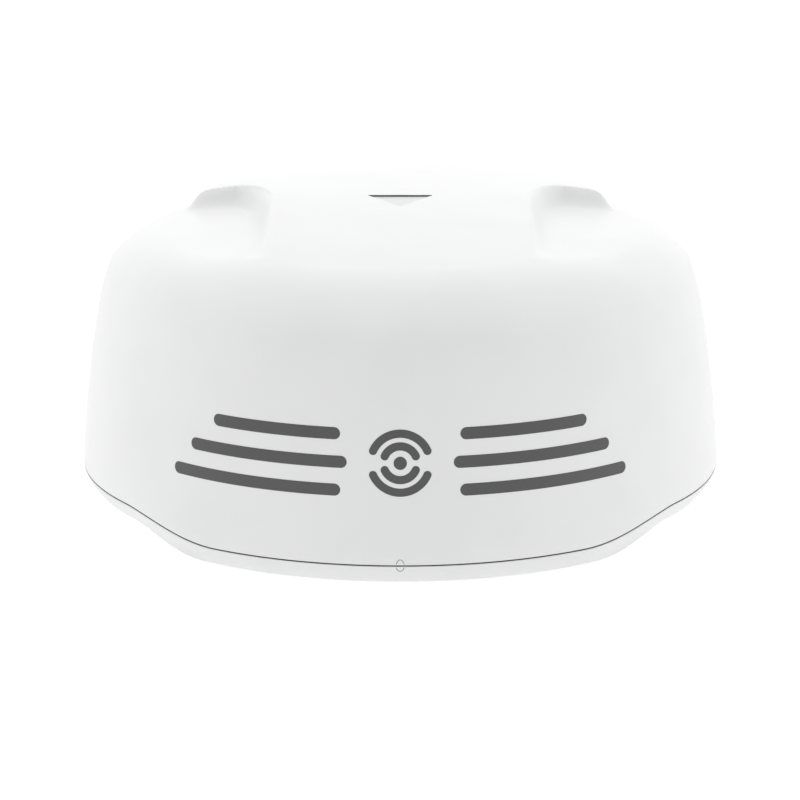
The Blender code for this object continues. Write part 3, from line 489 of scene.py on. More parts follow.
def prism(outline: Sequence[Pair], low: float, high: float, plane: str = "xy",
          bevel: float = 0.0004) -> Mesh:
    """Extrude an outline between two levels of the axis that its plane leaves out, edges bevelled.

    Args:
        outline: Corner points in order.
        low: Lower level.
        high: Upper level.
        plane: Plane that the outline lies in.
        bevel: Width of the bevel; 0 for none.

    Returns:
        The closed mesh.
    """
    bm = bmesh.new()
    order = {"xy": lambda u, v, w: (u, v, w), "yz": lambda u, v, w: (w, u, v), "xz": lambda u, v, w: (u, w,
                                                                                                      v)}
    ends = [[bm.verts.new(order[plane](u, v, level)) for u, v in outline] for level in (low, high)]
    for i in range(len(outline)):
        j = (i + 1) % len(outline)
        bm.faces.new((ends[0][i], ends[0][j], ends[1][j], ends[1][i]))
    caps = [bm.faces.new(end) for end in ends]
    if bevel:
        rims = [edge for cap in caps for edge in cap.edges]
        bmesh.ops.bevel(bm, geom=rims, offset=bevel, segments=2, affect="EDGES", profile=0.6)
    return smooth(mesh_from("prism", bm))


def rounded_rectangle(half_x: float, half_y: float, radius: float, steps: int = 8) -> list[Pair]:
    """Outline of a rectangle about the origin with round corners.

    Args:
        half_x: Half the length along X.
        half_y: Half the length along Y.
        radius: Radius of the corners.
        steps: Steps of each curve.

    Returns:
        The outline.
    """
    points = []
    for quarter in range(4):
        centre_x = (half_x - radius) * (1 if quarter in (0, 3) else -1)
        centre_y = (half_y - radius) * (1 if quarter in (0, 1) else -1)
        for i in range(steps + 1):
            angle = math.pi / 2 * (quarter + i / steps)
            points.append((centre_x + radius * math.cos(angle), centre_y + radius * math.sin(angle)))
    return points


def joined(name: str, meshes: Iterable[Mesh]) -> Mesh:
    """Gather closed shells into one mesh.

    Args:
        name: The mesh's name.
        meshes: The closed meshes.

    Returns:
        The gathered mesh.
    """
    bm = bmesh.new()
    for mesh in meshes:
        bm.from_mesh(mesh)
    return smooth(mesh_from(name, bm, recalculate=False))


def moved(mesh: Mesh, matrix: Matrix) -> Mesh:
    """Copy of a mesh, moved by a matrix that doesn't mirror it."""
    copy = mesh.copy()
    copy.transform(matrix)
    return copy


def shifted(mesh: Mesh, offset: Point) -> Mesh:
    """Copy of a mesh, moved along without a turn."""
    return moved(mesh, Matrix.Translation(offset))


def baked(holder: bpy.types.Object) -> Mesh:
    """Mesh of an object with its modifiers applied; the object is removed.

    Args:
        holder: The object.

    Returns:
        The plain mesh.
    """
    graph = bpy.context.evaluated_depsgraph_get()
    graph.update()
    made = bpy.data.meshes.new_from_object(holder.evaluated_get(graph), depsgraph=graph)
    bpy.data.objects.remove(holder, do_unlink=True)
    return made


def loose(mesh: Mesh) -> bpy.types.Object:
    """Put a mesh into the scene as a helper object."""
    holder = bpy.data.objects.new("helper", mesh)
    bpy.context.scene.collection.objects.link(holder)
    return holder


def carved(mesh: Mesh, tools: Sequence[Mesh], operation: str = "DIFFERENCE") -> Mesh:
    """Cut separate solids out of a mesh, or unite them with it.

    Args:
        mesh: The closed mesh.
        tools: Closed meshes that don't touch each other.
        operation: DIFFERENCE or UNION.

    Returns:
        The result.
    """
    holder = loose(mesh)
    tool = loose(joined("tool", tools))
    step = holder.modifiers.new("carve", "BOOLEAN")
    step.operation = operation
    step.solver = "EXACT"
    step.object = tool
    made = baked(holder)
    bpy.data.objects.remove(tool, do_unlink=True)
    return smooth(made)


def sweep(points: Sequence[Point], radius: float, sides: int = 4, steps: int = 10) -> Mesh:
    """Round tube along a smooth curve through points, with closed ends.

    Args:
        points: Points in order.
        radius: The tube's radius.
        sides: The tube's bevel resolution.
        steps: Steps between two points.

    Returns:
        The closed tube.
    """
    nodes = [Vector(p) for p in points]
    padded = [2 * nodes[0] - nodes[1]] + nodes + [2 * nodes[-1] - nodes[-2]]
    path = []
    for a, b, c, d in zip(padded, padded[1:], padded[2:], padded[3:]):
        for i in range(steps):
            t = i / steps
            path.append(0.5 * (2 * b + (c - a) * t + (2 * a - 5 * b + 4 * c - d) * t * t
                               + (3 * b - a - 3 * c + d) * t ** 3))
    path.append(nodes[-1])
    curve = bpy.data.curves.new("sweep", "CURVE")
    curve.dimensions = "3D"
    curve.bevel_depth = radius
    curve.bevel_resolution = sides
    curve.use_fill_caps = True
    spline = curve.splines.new("POLY")
    spline.points.add(len(path) - 1)
    for slot, point in zip(spline.points, path):
        slot.co = (*point, 1.0)
    holder = bpy.data.objects.new("sweep", curve)
    bpy.context.scene.collection.objects.link(holder)
    made = baked(holder)
    bpy.data.curves.remove(curve)
    bm = bmesh.new()
    bm.from_mesh(made)
    bmesh.ops.remove_doubles(bm, verts=bm.verts, dist=1e-7)
    return smooth(mesh_from("sweep", bm), 50)


class Recess(Enum):
    """Recess in a screw's head."""

    HEX = "hex socket"
    CROSS = "cross recess"


def recessed(profile: Sequence[Pair], recess: Recess, size: float, head_z: float, depth: float) -> Mesh:
    """Turn a screw, or another piece, and cut a recess into its face.

    Args:
        profile: Solid profile from axis to axis.
        recess: Shape of the recess.
        size: Half the recess's width.
        head_z: Height of the head's face.
        depth: Depth of the recess; below zero where the head faces down.

    Returns:
        The screw about its own axis.
    """
    low, high = sorted((head_z - depth, head_z + math.copysign(0.002, depth)))
    if recess is Recess.HEX:
        tool = drum(0, 0, low, high, size, 6)
    else:
        arm = size * 0.32
        outline = [(arm, arm), (arm, size), (-arm, size), (-arm, arm), (-size, arm), (-size, -arm), (-arm,
                                                                                                     -arm),
                   (-arm, -size), (arm, -size), (arm, -arm), (size, -arm), (size, arm)]
        tool = prism(outline, low, high, "xy", 0)
    return carved(lathe("screw", profile, 28, 0.0002), [tool])


def at_places(mesh: Mesh, places: Iterable[Point]) -> Mesh:
    """Copies of a mesh at several places, as one mesh."""
    return joined("copies", [shifted(mesh, place) for place in places])


def four_ways(x: float, y: float, z: float = 0.0) -> list[Point]:
    """Place mirrored to all four quarters."""
    return [(sx * x, sy * y, z) for sy in (-1, 1) for sx in (-1, 1)]


# ---------------------------------------------------------------- geometry nodes

class Repeater:
    """A Geometry Nodes tree that repeats one part round a circle or over a grid."""

    def __init__(self, name: str, sizes: dict[str, tuple[str, float]]) -> None:
        """Make the tree with its inputs.

        Args:
            name: The tree's name.
            sizes: Input names, each with its socket type and its value to start from.
        """
        self.tree = bpy.data.node_groups.new(name, "GeometryNodeTree")
        self.sockets = {}
        face = self.tree.interface
        face.new_socket("Geometry", in_out="INPUT", socket_type="NodeSocketGeometry")
        face.new_socket("Geometry", in_out="OUTPUT", socket_type="NodeSocketGeometry")
        for label, (kind, value) in sizes.items():
            made = face.new_socket(label, in_out="INPUT", socket_type=kind)
            made.default_value = value
            self.sockets[label] = made.identifier
        for label, kind in (("Part", "NodeSocketObject"), ("Finish", "NodeSocketMaterial")):
            self.sockets[label] = face.new_socket(label, in_out="INPUT", socket_type=kind).identifier
        self.inlet = self.tree.nodes.new("NodeGroupInput")
        self.outlet = self.tree.nodes.new("NodeGroupOutput")

    def add(self, kind: str, settings: dict | None = None, inputs: dict | None = None) -> bpy.types.Node:
        """Add a node with its settings and its inputs.

        Args:
            kind: The node's type.
            settings: Properties that are set first.
            inputs: Socket names or numbers with their values or links.

        Returns:
            The node.
        """
        made = self.tree.nodes.new(kind)
        for key, value in (settings or {}).items():
            setattr(made, key, value)
        for key, value in (inputs or {}).items():
            if isinstance(value, Socket):
                self.tree.links.new(value, made.inputs[key])
            else:
                made.inputs[key].default_value = value
        return made

    def finish_tree(self, points: Socket, rotation: Socket | None) -> None:
        """Put the part on the points, realize the instances and set their material.

        Args:
            points: Points that the copies stand on.
            rotation: Each copy's turn, or None.
        """
        part = self.add("GeometryNodeObjectInfo", {"transform_space": "ORIGINAL"},
                        {"Object": self.inlet.outputs["Part"]})
        inputs = {"Points": points, "Instance": part.outputs["Geometry"]}
        if rotation:
            inputs["Rotation"] = rotation
        placed = self.add("GeometryNodeInstanceOnPoints", None, inputs)
        real = self.add("GeometryNodeRealizeInstances", None, {"Geometry": placed.outputs[0]})
        dressed = self.add("GeometryNodeSetMaterial", None,
                           {"Geometry": real.outputs[0], "Material": self.inlet.outputs["Finish"]})
        self.tree.links.new(dressed.outputs[0], self.outlet.inputs[0])

    def repeat(self, part: Mesh, finish: Finish, **sizes: float) -> Mesh:
        """Repeat a part and return the result as a plain mesh.

        Args:
            part: The part, about its own origin.
            finish: The material of all copies.
            **sizes: Values of the tree's inputs, with underscores for spaces.

        Returns:
            One mesh of all the copies.
        """
        template = loose(part)
        holder = loose(bpy.data.meshes.new("repeated"))
        step = holder.modifiers.new("repeat", "NODES")
        step.node_group = self.tree
        step[self.sockets["Part"]] = template
        step[self.sockets["Finish"]] = finish.material()
        for label, value in sizes.items():
            step[self.sockets[label.replace("_", " ")]] = value
        made = baked(holder)
        bpy.data.objects.remove(template, do_unlink=True)
        return smooth(made)


def circle_repeater() -> Repeater:
    """Tree that stands a part's -Y side outwards at even steps round a circle.

    Returns:
        The tree.
    """
    made = Repeater("repeat_round_circle", {
        "Count": ("NodeSocketInt", 6), "Radius": ("NodeSocketFloat", 0.1), "Phase": ("NodeSocketFloat",
                                                                                     0.0)})
    count, radius, phase = (made.inlet.outputs[label] for label in ("Count", "Radius", "Phase"))
    index = made.add("GeometryNodeInputIndex")
    step = made.add("ShaderNodeMath", {"operation": "DIVIDE"}, {0: 2 * math.pi, 1: count})
    turn = made.add("ShaderNodeMath", {"operation": "MULTIPLY_ADD"},
                    {0: index.outputs[0], 1: step.outputs[0], 2: phase})
    sine = made.add("ShaderNodeMath", {"operation": "SINE"}, {0: turn.outputs[0]})
    cosine = made.add("ShaderNodeMath", {"operation": "COSINE"}, {0: turn.outputs[0]})
    minus = made.add("ShaderNodeMath", {"operation": "MULTIPLY"}, {0: cosine.outputs[0], 1: -1.0})
    rim = made.add("ShaderNodeCombineXYZ", None, {0: sine.outputs[0], 1: minus.outputs[0]})
    where = made.add("ShaderNodeVectorMath", {"operation": "SCALE"}, {0: rim.outputs[0], "Scale": radius})
    points = made.add("GeometryNodePoints", None, {"Count": count, "Position": where.outputs[0]})
    facing = made.add("ShaderNodeCombineXYZ", None, {2: turn.outputs[0]})
    made.finish_tree(points.outputs[0], facing.outputs[0])
    return made


def grid_repeater() -> Repeater:
    """Tree that repeats a part over a level grid about the origin.

    Returns:
        The tree.
    """
    made = Repeater("repeat_over_grid", {
        "Columns": ("NodeSocketInt", 4), "Rows": ("NodeSocketInt", 2),
        "Column Pitch": ("NodeSocketFloat", 0.01), "Row Pitch": ("NodeSocketFloat", 0.01)})
    sizes = []
    for count, pitch in (("Columns", "Column Pitch"), ("Rows", "Row Pitch")):
        gaps = made.add("ShaderNodeMath", {"operation": "SUBTRACT"}, {0: made.inlet.outputs[count], 1: 1.0})
        span = made.add("ShaderNodeMath", {"operation": "MULTIPLY"},
                        {0: gaps.outputs[0], 1: made.inlet.outputs[pitch]})
        sizes.append(span.outputs[0])
    grid = made.add("GeometryNodeMeshGrid", None, {
        "Size X": sizes[0], "Size Y": sizes[1],
        "Vertices X": made.inlet.outputs["Columns"], "Vertices Y": made.inlet.outputs["Rows"]})
    made.finish_tree(grid.outputs[0], None)
    return made


class Assembly:
    """A sub-assembly: it places finished pieces on their bodies, and shares the two repeating trees."""

    circle: ClassVar[Repeater]
    grid: ClassVar[Repeater]
    placed: ClassVar[int] = 0

    def place(self, name: str, mesh: Mesh, finish: Finish, body: str, slot: str,
              replaced: Sequence[str] = ()) -> bpy.types.Object:
        """Add a finished piece.

        Args:
            name: The piece's name.
            mesh: Its mesh, in place.
            finish: Its finish.
            body: The body it moves with.
            slot: The record's material slot that it belongs to; not used.
            replaced: CAD nodes that it stands for.

        Returns:
            The piece.
        """
        mesh.materials.clear()
        mesh.materials.append(finish.material())
        piece = bpy.data.objects.new(name, mesh)
        bpy.context.scene.collection.objects.link(piece)
        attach(piece, body)
        if replaced:
            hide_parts(*replaced)
        Assembly.placed += 1
        LOG.info("%s: %d faces on %s", name, len(mesh.polygons), body)
        return piece


# ---------------------------------------------------------------- outer form

def ease(value: np.ndarray | float) -> np.ndarray:
    """Smooth step of values between 0 and 1."""
    value = np.clip(value, 0.0, 1.0)
    return value * value * (3 - 2 * value)


@dataclass(frozen=True)
class OuterForm:
    """The outer shape that the dome and the base share, as formulas of azimuth and height."""

    radius: float = 0.254
    height: float = 0.248
    wall: float = 0.0041
    widest_z: float = 0.038
    draft: float = 0.055
    bulge: float = 0.48
    shoulder_z: float = 0.178
    shoulder_radius: float = 0.055
    bow_shoulder_radius: float = 0.0635
    bow_shoulder_shift: Pair = (-0.0093, 0.0011)
    stern_drop: float = 0.0055
    crown_radius: float = 2.0
    hood_radius: float = 1.034
    rim_start: Point = (0.181, 0.172, 0.197)
    rim_fall: Point = (3000.0, 3000.0, 1500.0)
    rim_blend: float = 0.003
    screw_circle: float = 0.229
    screw_azimuths: tuple[float, ...] = (25, 90, 155, 205, 270, 335)
    band_half: float = 0.1005
    corner: Pair = (0.035, 0.088)
    fillet: Pair = (0.030, 0.017)
    rear_wall_y: float = 0.080
    edge_softness: float = 0.24
    fade_y: Pair = (-0.120, -0.215)
    seam_z: float = 0.0185
    rise: float = 0.0145
    rise_from: float = math.radians(34)
    rise_to: float = math.radians(58)

    def side_rise(self, azimuth: np.ndarray, delay: float = 0.0) -> np.ndarray:
        """Height that the seam gains towards the sides; a delay starts it further out."""
        from_keel = np.arcsin(np.clip(np.abs(np.sin(azimuth)), 0, 1))
        start = self.rise_from + delay
        return self.rise * ease((from_keel - start) / (self.rise_to - start))

    def bow_share(self, azimuth: np.ndarray) -> np.ndarray:
        """How far an azimuth belongs to the fuller bow: 1 ahead, 0 from the beam aft."""
        ahead = np.arccos(np.clip(np.cos(azimuth), -1, 1))
        return 1 - ease((ahead - math.radians(28)) / math.radians(34))

    def abeam_share(self, azimuth: np.ndarray) -> np.ndarray:
        """How far an azimuth belongs to the sides, where a crease tops the wall."""
        ahead = np.degrees(np.arccos(np.clip(np.cos(azimuth), -1, 1)))
        return ease((ahead - 58) / 30) * (1 - ease((ahead - 104) / 26))

    def wall_radius(self, z: np.ndarray, azimuth: np.ndarray) -> np.ndarray:
        """Outer radius of the wall at a height and azimuth.

        Args:
            z: Heights.
            azimuth: Azimuths.

        Returns:
            The radius at each place.
        """
        above = np.maximum(0.0, z - self.widest_z)
        plain = self.radius - self.draft * above - self.bulge * above * above
        full = 0.0006 * self.bow_share(azimuth) * ease((z - 0.06) / 0.13)
        turned_in = 0.0028 * self.abeam_share(azimuth) * (np.maximum(0.0, z - 0.158) / 0.036) ** 2
        return plain + full - turned_in

    def shoulder_centre(self, azimuth: np.ndarray) -> tuple[np.ndarray, np.ndarray, np.ndarray]:
        """Centre radius, centre height and radius of the shoulder's arc at an azimuth.

        Args:
            azimuth: Azimuths.

        Returns:
            The arc's centre as radius and height, and its radius.
        """
        lean = math.atan(self.draft + 2 * self.bulge * (self.shoulder_z - self.widest_z))
        above = self.shoulder_z - self.widest_z
        foot = self.radius - self.draft * above - self.bulge * above * above
        centre_r = foot - self.shoulder_radius * math.cos(lean)
        centre_z = self.shoulder_z - self.shoulder_radius * math.sin(lean)
        bow = self.bow_share(azimuth)
        ahead = np.arccos(np.clip(np.cos(azimuth), -1, 1))
        lowered = self.stern_drop * ease((ahead - math.radians(62)) / math.radians(52))
        reach = self.shoulder_radius + (self.bow_shoulder_radius - self.shoulder_radius) * bow
        out, up = self.bow_shoulder_shift
        return centre_r + out * bow, centre_z + up * bow - lowered, reach

    def crease_z(self, azimuth: np.ndarray) -> np.ndarray:
        """Height where the wall meets the shoulder: tangent ahead, a crease abeam."""
        return self.shoulder_z + 0.0020 * self.bow_share(azimuth) + 0.0160 * self.abeam_share(azimuth)

    def pocket_share(self, x: np.ndarray, y: np.ndarray) -> np.ndarray:
        """How far a pocket is sunk at a point: 0 on the hood, 1 on a pocket's floor.

        Args:
            x: Places along X.
            y: Places along Y.

        Returns:
            The share at each place.
        """
        across = np.clip(1 - (np.abs(x) - self.band_half) / self.corner[0], 0, None)
        aft = np.clip(1 - (self.rear_wall_y - y) / self.corner[1], 0, None)
        reach = np.maximum(np.hypot(across, aft), 1e-9)
        fillet = (across / reach) ** 2 * self.fillet[0] / self.corner[0]
        fillet = fillet + (aft / reach) ** 2 * self.fillet[1] / self.corner[1]
        sunk = np.clip((1 - reach) / np.maximum(fillet, 1e-9), 0, 1)
        sunk = sunk * sunk * (1 + self.edge_softness) / (sunk + self.edge_softness)
        fading = ease((y - self.fade_y[1]) / (self.fade_y[0] - self.fade_y[1]))
        return (1 - (1 - sunk) ** 3.4) * fading

    def hood_height(self, x: np.ndarray, y: np.ndarray, inset: float) -> np.ndarray:
        """Height of the hood's own surface: a low sphere whose rim falls away to the shoulder.

        Args:
            x: Places along X.
            y: Places along Y.
            inset: Depth under the outer surface.

        Returns:
            The height at each place.
        """
        radius = np.hypot(x, y)
        forward = -y / np.maximum(radius, 1e-9)
        bow = ease((forward - 0.25) / 0.6)
        stern = ease((-forward - 0.45) / 0.5)
        side = 1 - bow - stern
        start = self.rim_start[0] * bow + self.rim_start[1] * side + self.rim_start[2] * stern
        fall = np.exp(sum(share * math.log(value) for share, value in zip((bow, side, stern),
                                                                          self.rim_fall)))
        sphere = self.height - inset - self.hood_radius + np.sqrt(self.hood_radius ** 2 - radius ** 2)
        return sphere - fall * np.maximum(0.0, radius - start) ** 3

    def skin(self, inset: float, count: int, steps: tuple[int, int, int]) -> np.ndarray:
        """Rings of one skin of the dome from the seam up, without the apex.

        Args:
            inset: Depth under the outer surface.
            count: Points in each ring.
            steps: Rings of the wall, the shoulder and the crown.

        Returns:
            Array of rings by points by coordinates.
        """
        azimuth = np.arange(count) * (2 * math.pi / count)
        foot = self.seam_z + self.side_rise(azimuth)
        crease = self.crease_z(azimuth)
        centre_r, centre_z, reach = self.shoulder_centre(azimuth)
        rings = []
        lean = np.arcsin(np.clip((crease - centre_z) / reach, -1, 1))
        meeting = centre_r + reach * np.cos(lean)
        proud = self.wall_radius(crease, azimuth) - meeting
        for step in range(steps[0]):
            z = foot + (crease - foot) * step / steps[0]
            rings.append((self.wall_radius(z, azimuth) - inset, z))
        top_angle = np.radians(84.6 - 4.6 * self.bow_share(azimuth))
        for step in range(steps[1]):
            share = step / steps[1]
            angle = lean + (top_angle - lean) * share
            radius = centre_r + (reach - inset) * np.cos(angle) + proud * (1 - share) ** 3
            rings.append((radius, centre_z + (reach - inset) * np.sin(angle)))
        top_r = centre_r + (reach - inset) * np.cos(top_angle)
        top_z = centre_z + (reach - inset) * np.sin(top_angle)
        apex = self.shoulder_crown(inset)
        for step in range(steps[2]):
            share = 1 - step / steps[2]
            radius = top_r * share
            plain = apex - self.crown_radius + np.sqrt(self.crown_radius ** 2 - radius ** 2)
            edge = apex - self.crown_radius + np.sqrt(self.crown_radius ** 2 - top_r ** 2)
            rings.append((radius, plain + (top_z - edge) * share ** 3))
        width = self.rim_blend * (1 - 0.9 * ease((np.cos(azimuth) - 0.25) / 0.6))
        placed = []
        for number, (radius, z) in enumerate(rings):
            x, y = radius * np.sin(azimuth), -radius * np.cos(azimuth)
            if number > steps[0]:
                above = self.hood_height(x, y, inset) - z
                blend = np.maximum(width - np.abs(above), 0.0) / width
                raised = np.maximum(above, 0.0) + blend * blend * width / 4
                z = z + raised * (1 - self.pocket_share(x, y)) * min(1.0, (number - steps[0]) / 4)
            placed.append(np.stack([x, y, z], axis=1))
        return np.array(placed)

    def shoulder_crown(self, inset: float) -> float:
        """Height at the axis of the plain crown under the hood.

        Args:
            inset: Depth under the outer surface.

        Returns:
            The height.
        """
        centre_r, centre_z, reach = self.shoulder_centre(np.array([math.pi / 2]))
        top_r = float(centre_r[0]) + float(reach[0]) * math.cos(math.radians(84.6))
        top_z = float(centre_z[0]) + float(reach[0]) * math.sin(math.radians(84.6))
        return top_z + self.crown_radius - math.sqrt(self.crown_radius ** 2 - top_r ** 2) - inset

    def screw_places(self) -> list[tuple[float, float, float, float]]:
        """Azimuth, x, y and rise of the seam at each cover screw.

        Returns:
            A row for each screw.
        """
        places = []
        for degrees in self.screw_azimuths:
            azimuth = math.radians(degrees)
            rise = float(self.side_rise(np.array(azimuth)))
            places.append((azimuth, self.screw_circle * math.sin(azimuth),
                           -self.screw_circle * math.cos(azimuth), rise))
        return places

    def wall_point(self, across: float, z: float, proud: float) -> Vector:
        """Point on the bow's wall, a width across along the wall from the centre line."""
        azimuth = across / float(self.wall_radius(np.array(z), np.array(0.0)))
        radius = float(self.wall_radius(np.array(z), np.array(azimuth))) + proud
        return Vector((radius * math.sin(azimuth), -radius * math.cos(azimuth), z))

    def tray_point(self, across: float, z: float, proud: float) -> Vector:
        """Point on the base's edge under the bow, as wall_point gives it on the dome.

        Args:
            across: Width across.
            z: Heights.
            proud: Height over the surface.

        Returns:
            The point.
        """
        levels = (0.0036, 0.0058, 0.0108, 0.0146, 0.0168)
        radius = float(np.interp(z, levels, (0.2448, 0.2468, 0.2505, 0.2528, 0.2538))) + proud
        azimuth = across / radius
        return Vector((radius * math.sin(azimuth), -radius * math.cos(azimuth), z))


def ring_mesh(name: str, rings: Sequence[np.ndarray], first: Point | None = None, last: Point | None = None,
              looped: bool = False) -> Mesh:
    """Skin rings of points, of equal counts or one a multiple of the next, into one closed mesh.

    Args:
        name: The mesh's name.
        rings: Rings of points.
        first: Apex before the first ring.
        last: Apex after the last ring.
        looped: Whether the last ring joins the first.

    Returns:
        The mesh.
    """
    bm = bmesh.new()
    rows = [[bm.verts.new(point) for point in ring] for ring in rings]
    pairs = list(zip(rows, rows[1:])) + ([(rows[-1], rows[0])] if looped else [])
    for lower, upper in pairs:
        fine, coarse = (lower, upper) if len(lower) >= len(upper) else (upper, lower)
        times = len(fine) // len(coarse)
        for i in range(len(coarse)):
            arc = [fine[(i * times + k) % len(fine)] for k in range(times + 1)]
            bm.faces.new([coarse[i]] + arc + [coarse[(i + 1) % len(coarse)]])
    for apex, row in ((first, rows[0]), (last, rows[-1])):
        if apex is not None:
            tip = bm.verts.new(apex)
            for i in range(len(row)):
                bm.faces.new((row[i], row[(i + 1) % len(row)], tip))
    return smooth(mesh_from(name, bm), 24)


# ---------------------------------------------------------------- dome

@dataclass
class Dome(Assembly):
    """The radome with its bow arrow, its printed graphic, its bosses and inserts."""

    form: OuterForm = field(default_factory=OuterForm)
    fine: int = 480
    coarse: int = 240
    arrow_half: float = 0.0256
    arrow_rear_y: float = -0.005
    arrow_length: float = 0.038
    arrow_depth: float = 0.0014

    def build(self) -> None:
        """Make every piece of the dome."""
        shell = carved(self.shell_mesh(), [self.arrow_tool()])
        self.place("radome_skin", shell, Finishes.dome, "radome", "dome_plastic", ["radome_shell"])
        # The arrow's floor film is painted shade, a darker copy of the dome's colour.
        self.place("bow_arrow", self.arrow_shade_film(), Finishes.arrow_painted_shade, "radome", "dome_plastic")
        # A dark bar of painted shade along the arrow's rear step.
        self.place("bow_arrow_edge", self.arrow_shade_bar(), Finishes.graphite_ink_and_painted_shade, "radome", "dome_plastic")
        self.place("dome_bosses", self.bosses_mesh(), Finishes.dome_inside, "radome", "dome_plastic")
        inserts = self.inserts_mesh()
        names = [f"thread_insert_{number}" for number in range(1, len(self.form.screw_azimuths) + 1)]
        self.place("thread_inserts", inserts, Finishes.brass, "radome", "brass", names)

    def shell_mesh(self) -> Mesh:
        """Closed shell: the fine outer skin, a softened lower rim and a coarser inner skin.

        Returns:
            The closed shell.
        """
        form = self.form
        outer = form.skin(0.0, self.fine, (12, 22, 128))
        inner = form.skin(form.wall, self.coarse, (8, 10, 36))
        azimuth = np.arange(self.fine) * (2 * math.pi / self.fine)
        foot = outer[0].copy()
        outward = np.stack([np.sin(azimuth), -np.cos(azimuth), 0 * azimuth], axis=1)
        soft = 0.0007
        rim = [foot - outward * soft, foot - outward * soft * 0.3 + np.array([0, 0, soft * 0.3])]
        outer[0] = foot + np.array([0, 0, soft])
        rings = list(inner[::-1]) + rim + list(outer)
        return ring_mesh("radome_skin", rings, first=(0, 0, form.height - form.wall), last=(0, 0,
                                                                                            form.height))

    def crown_z(self, y: float) -> float:
        """Height of the outer skin on the centre line."""
        return float(self.form.hood_height(np.array(0.0), np.array(y), 0.0))

    def arrow_tool(self) -> Mesh:
        """Wedge that cuts the bow arrow: deepest at its straight rear edge, running out at its tip.

        Returns:
            The wedge.
        """
        bm = bmesh.new()
        tip_y = self.arrow_rear_y - self.arrow_length
        corners = [(-self.arrow_half, self.arrow_rear_y), (self.arrow_half, self.arrow_rear_y), (0.0,
                                                                                                 tip_y)]
        floors = [self.crown_z(self.arrow_rear_y) - self.arrow_depth] * 2 + [self.crown_z(tip_y) - 0.0002]
        lower = [bm.verts.new((x, y, z)) for (x, y), z in zip(corners, floors)]
        upper = [bm.verts.new((x, y, self.form.height + 0.01)) for x, y in corners]
        bm.faces.new(lower)
        bm.faces.new(upper)
        for i in range(3):
            j = (i + 1) % 3
            bm.faces.new((lower[i], lower[j], upper[j], upper[i]))
        return mesh_from("arrow", bm)

    def arrow_shade_film(self) -> Mesh:
        """Film on the arrow's floor, its corners rounded, a little darker than the dome: painted shade on
        the sunken floor.

        Returns:
            The film.
        """
        tip_y = self.arrow_rear_y - self.arrow_length
        inset = 0.0012
        corners = [(-self.arrow_half + 3 * inset, self.arrow_rear_y - inset),
                   (self.arrow_half - 3 * inset, self.arrow_rear_y - inset), (0.0, tip_y + 2 * inset)]
        outline = rounded([corners[2], *corners[:2], corners[2]], 0.004, 5)[1:-1] + [corners[2]]
        low, high = self.crown_z(self.arrow_rear_y) - self.arrow_depth, self.crown_z(tip_y) - 0.0002
        bm = bmesh.new()
        ends = []
        for lift in (-0.0003, 0.00005):
            ends.append([bm.verts.new((x, y, low + lift + (high - low) * (self.arrow_rear_y - y)
                                       / self.arrow_length)) for x, y in outline])
        for i in range(len(outline)):
            j = (i + 1) % len(outline)
            bm.faces.new((ends[0][i], ends[0][j], ends[1][j], ends[1][i]))
        for end in ends:
            bm.faces.new(end)
        return smooth(mesh_from("bow_arrow", bm))

    def arrow_shade_bar(self) -> Mesh:
        """Dark bar along the arrow's straight rear edge, its ends rounded: painted shade on the step's
        wall, which faces forward.

        Returns:
            The bar.
        """
        top = self.crown_z(self.arrow_rear_y) - 0.00012
        outline = rounded_rectangle(self.arrow_half, self.arrow_depth / 2, self.arrow_depth / 2 - 0.00001,
                                    5)
        bar = prism(outline, self.arrow_rear_y - 0.00035, self.arrow_rear_y + 0.0004, "xz", 0)
        return shifted(bar, (0, 0, top - self.arrow_depth / 2))

    def bosses_mesh(self) -> Mesh:
        """Six round bosses, each webbed to the wall.

        Returns:
            The bosses.
        """
        low = self.form.seam_z
        profile = [(0, low + 0.0165), (0.0041, low + 0.0165), (0.0041, low), (0.0072, low),
                   (0.0066, low + 0.0255), (0, low + 0.0255)]
        boss = lathe("boss", profile, 32, 0.0005)
        web = block((-0.0017, -0.0215, low + 0.007), (0.0017, -0.004, low + 0.0235), 0.0005)
        shells = []
        for azimuth, x, y, rise in self.form.screw_places():
            place = Matrix.Translation((x, y, rise)) @ Matrix.Rotation(azimuth, 4, "Z")
            shells += [moved(boss, place), moved(web, place)]
        return joined("dome_bosses", shells)

    def inserts_mesh(self) -> Mesh:
        """Brass inserts in the bosses, knurled by fine grooves on their faces.

        Returns:
            The inserts.
        """
        profile = [(0.0028, 0.0188), (0.0038, 0.0188), (0.0038, 0.0222), (0.0035, 0.0228), (0.0035, 0.0240),
                   (0.0038, 0.0246), (0.0038, 0.0308), (0.0028, 0.0308)]
        insert = lathe("insert", profile, 28, 0.0002)
        return joined("thread_inserts", [shifted(insert, (x, y, rise))
                                         for _azimuth, x, y, rise in self.form.screw_places()])


class StrokeEnd(Enum):
    """How a printed stroke ends."""

    ROUND = "round"
    SQUARE = "square"


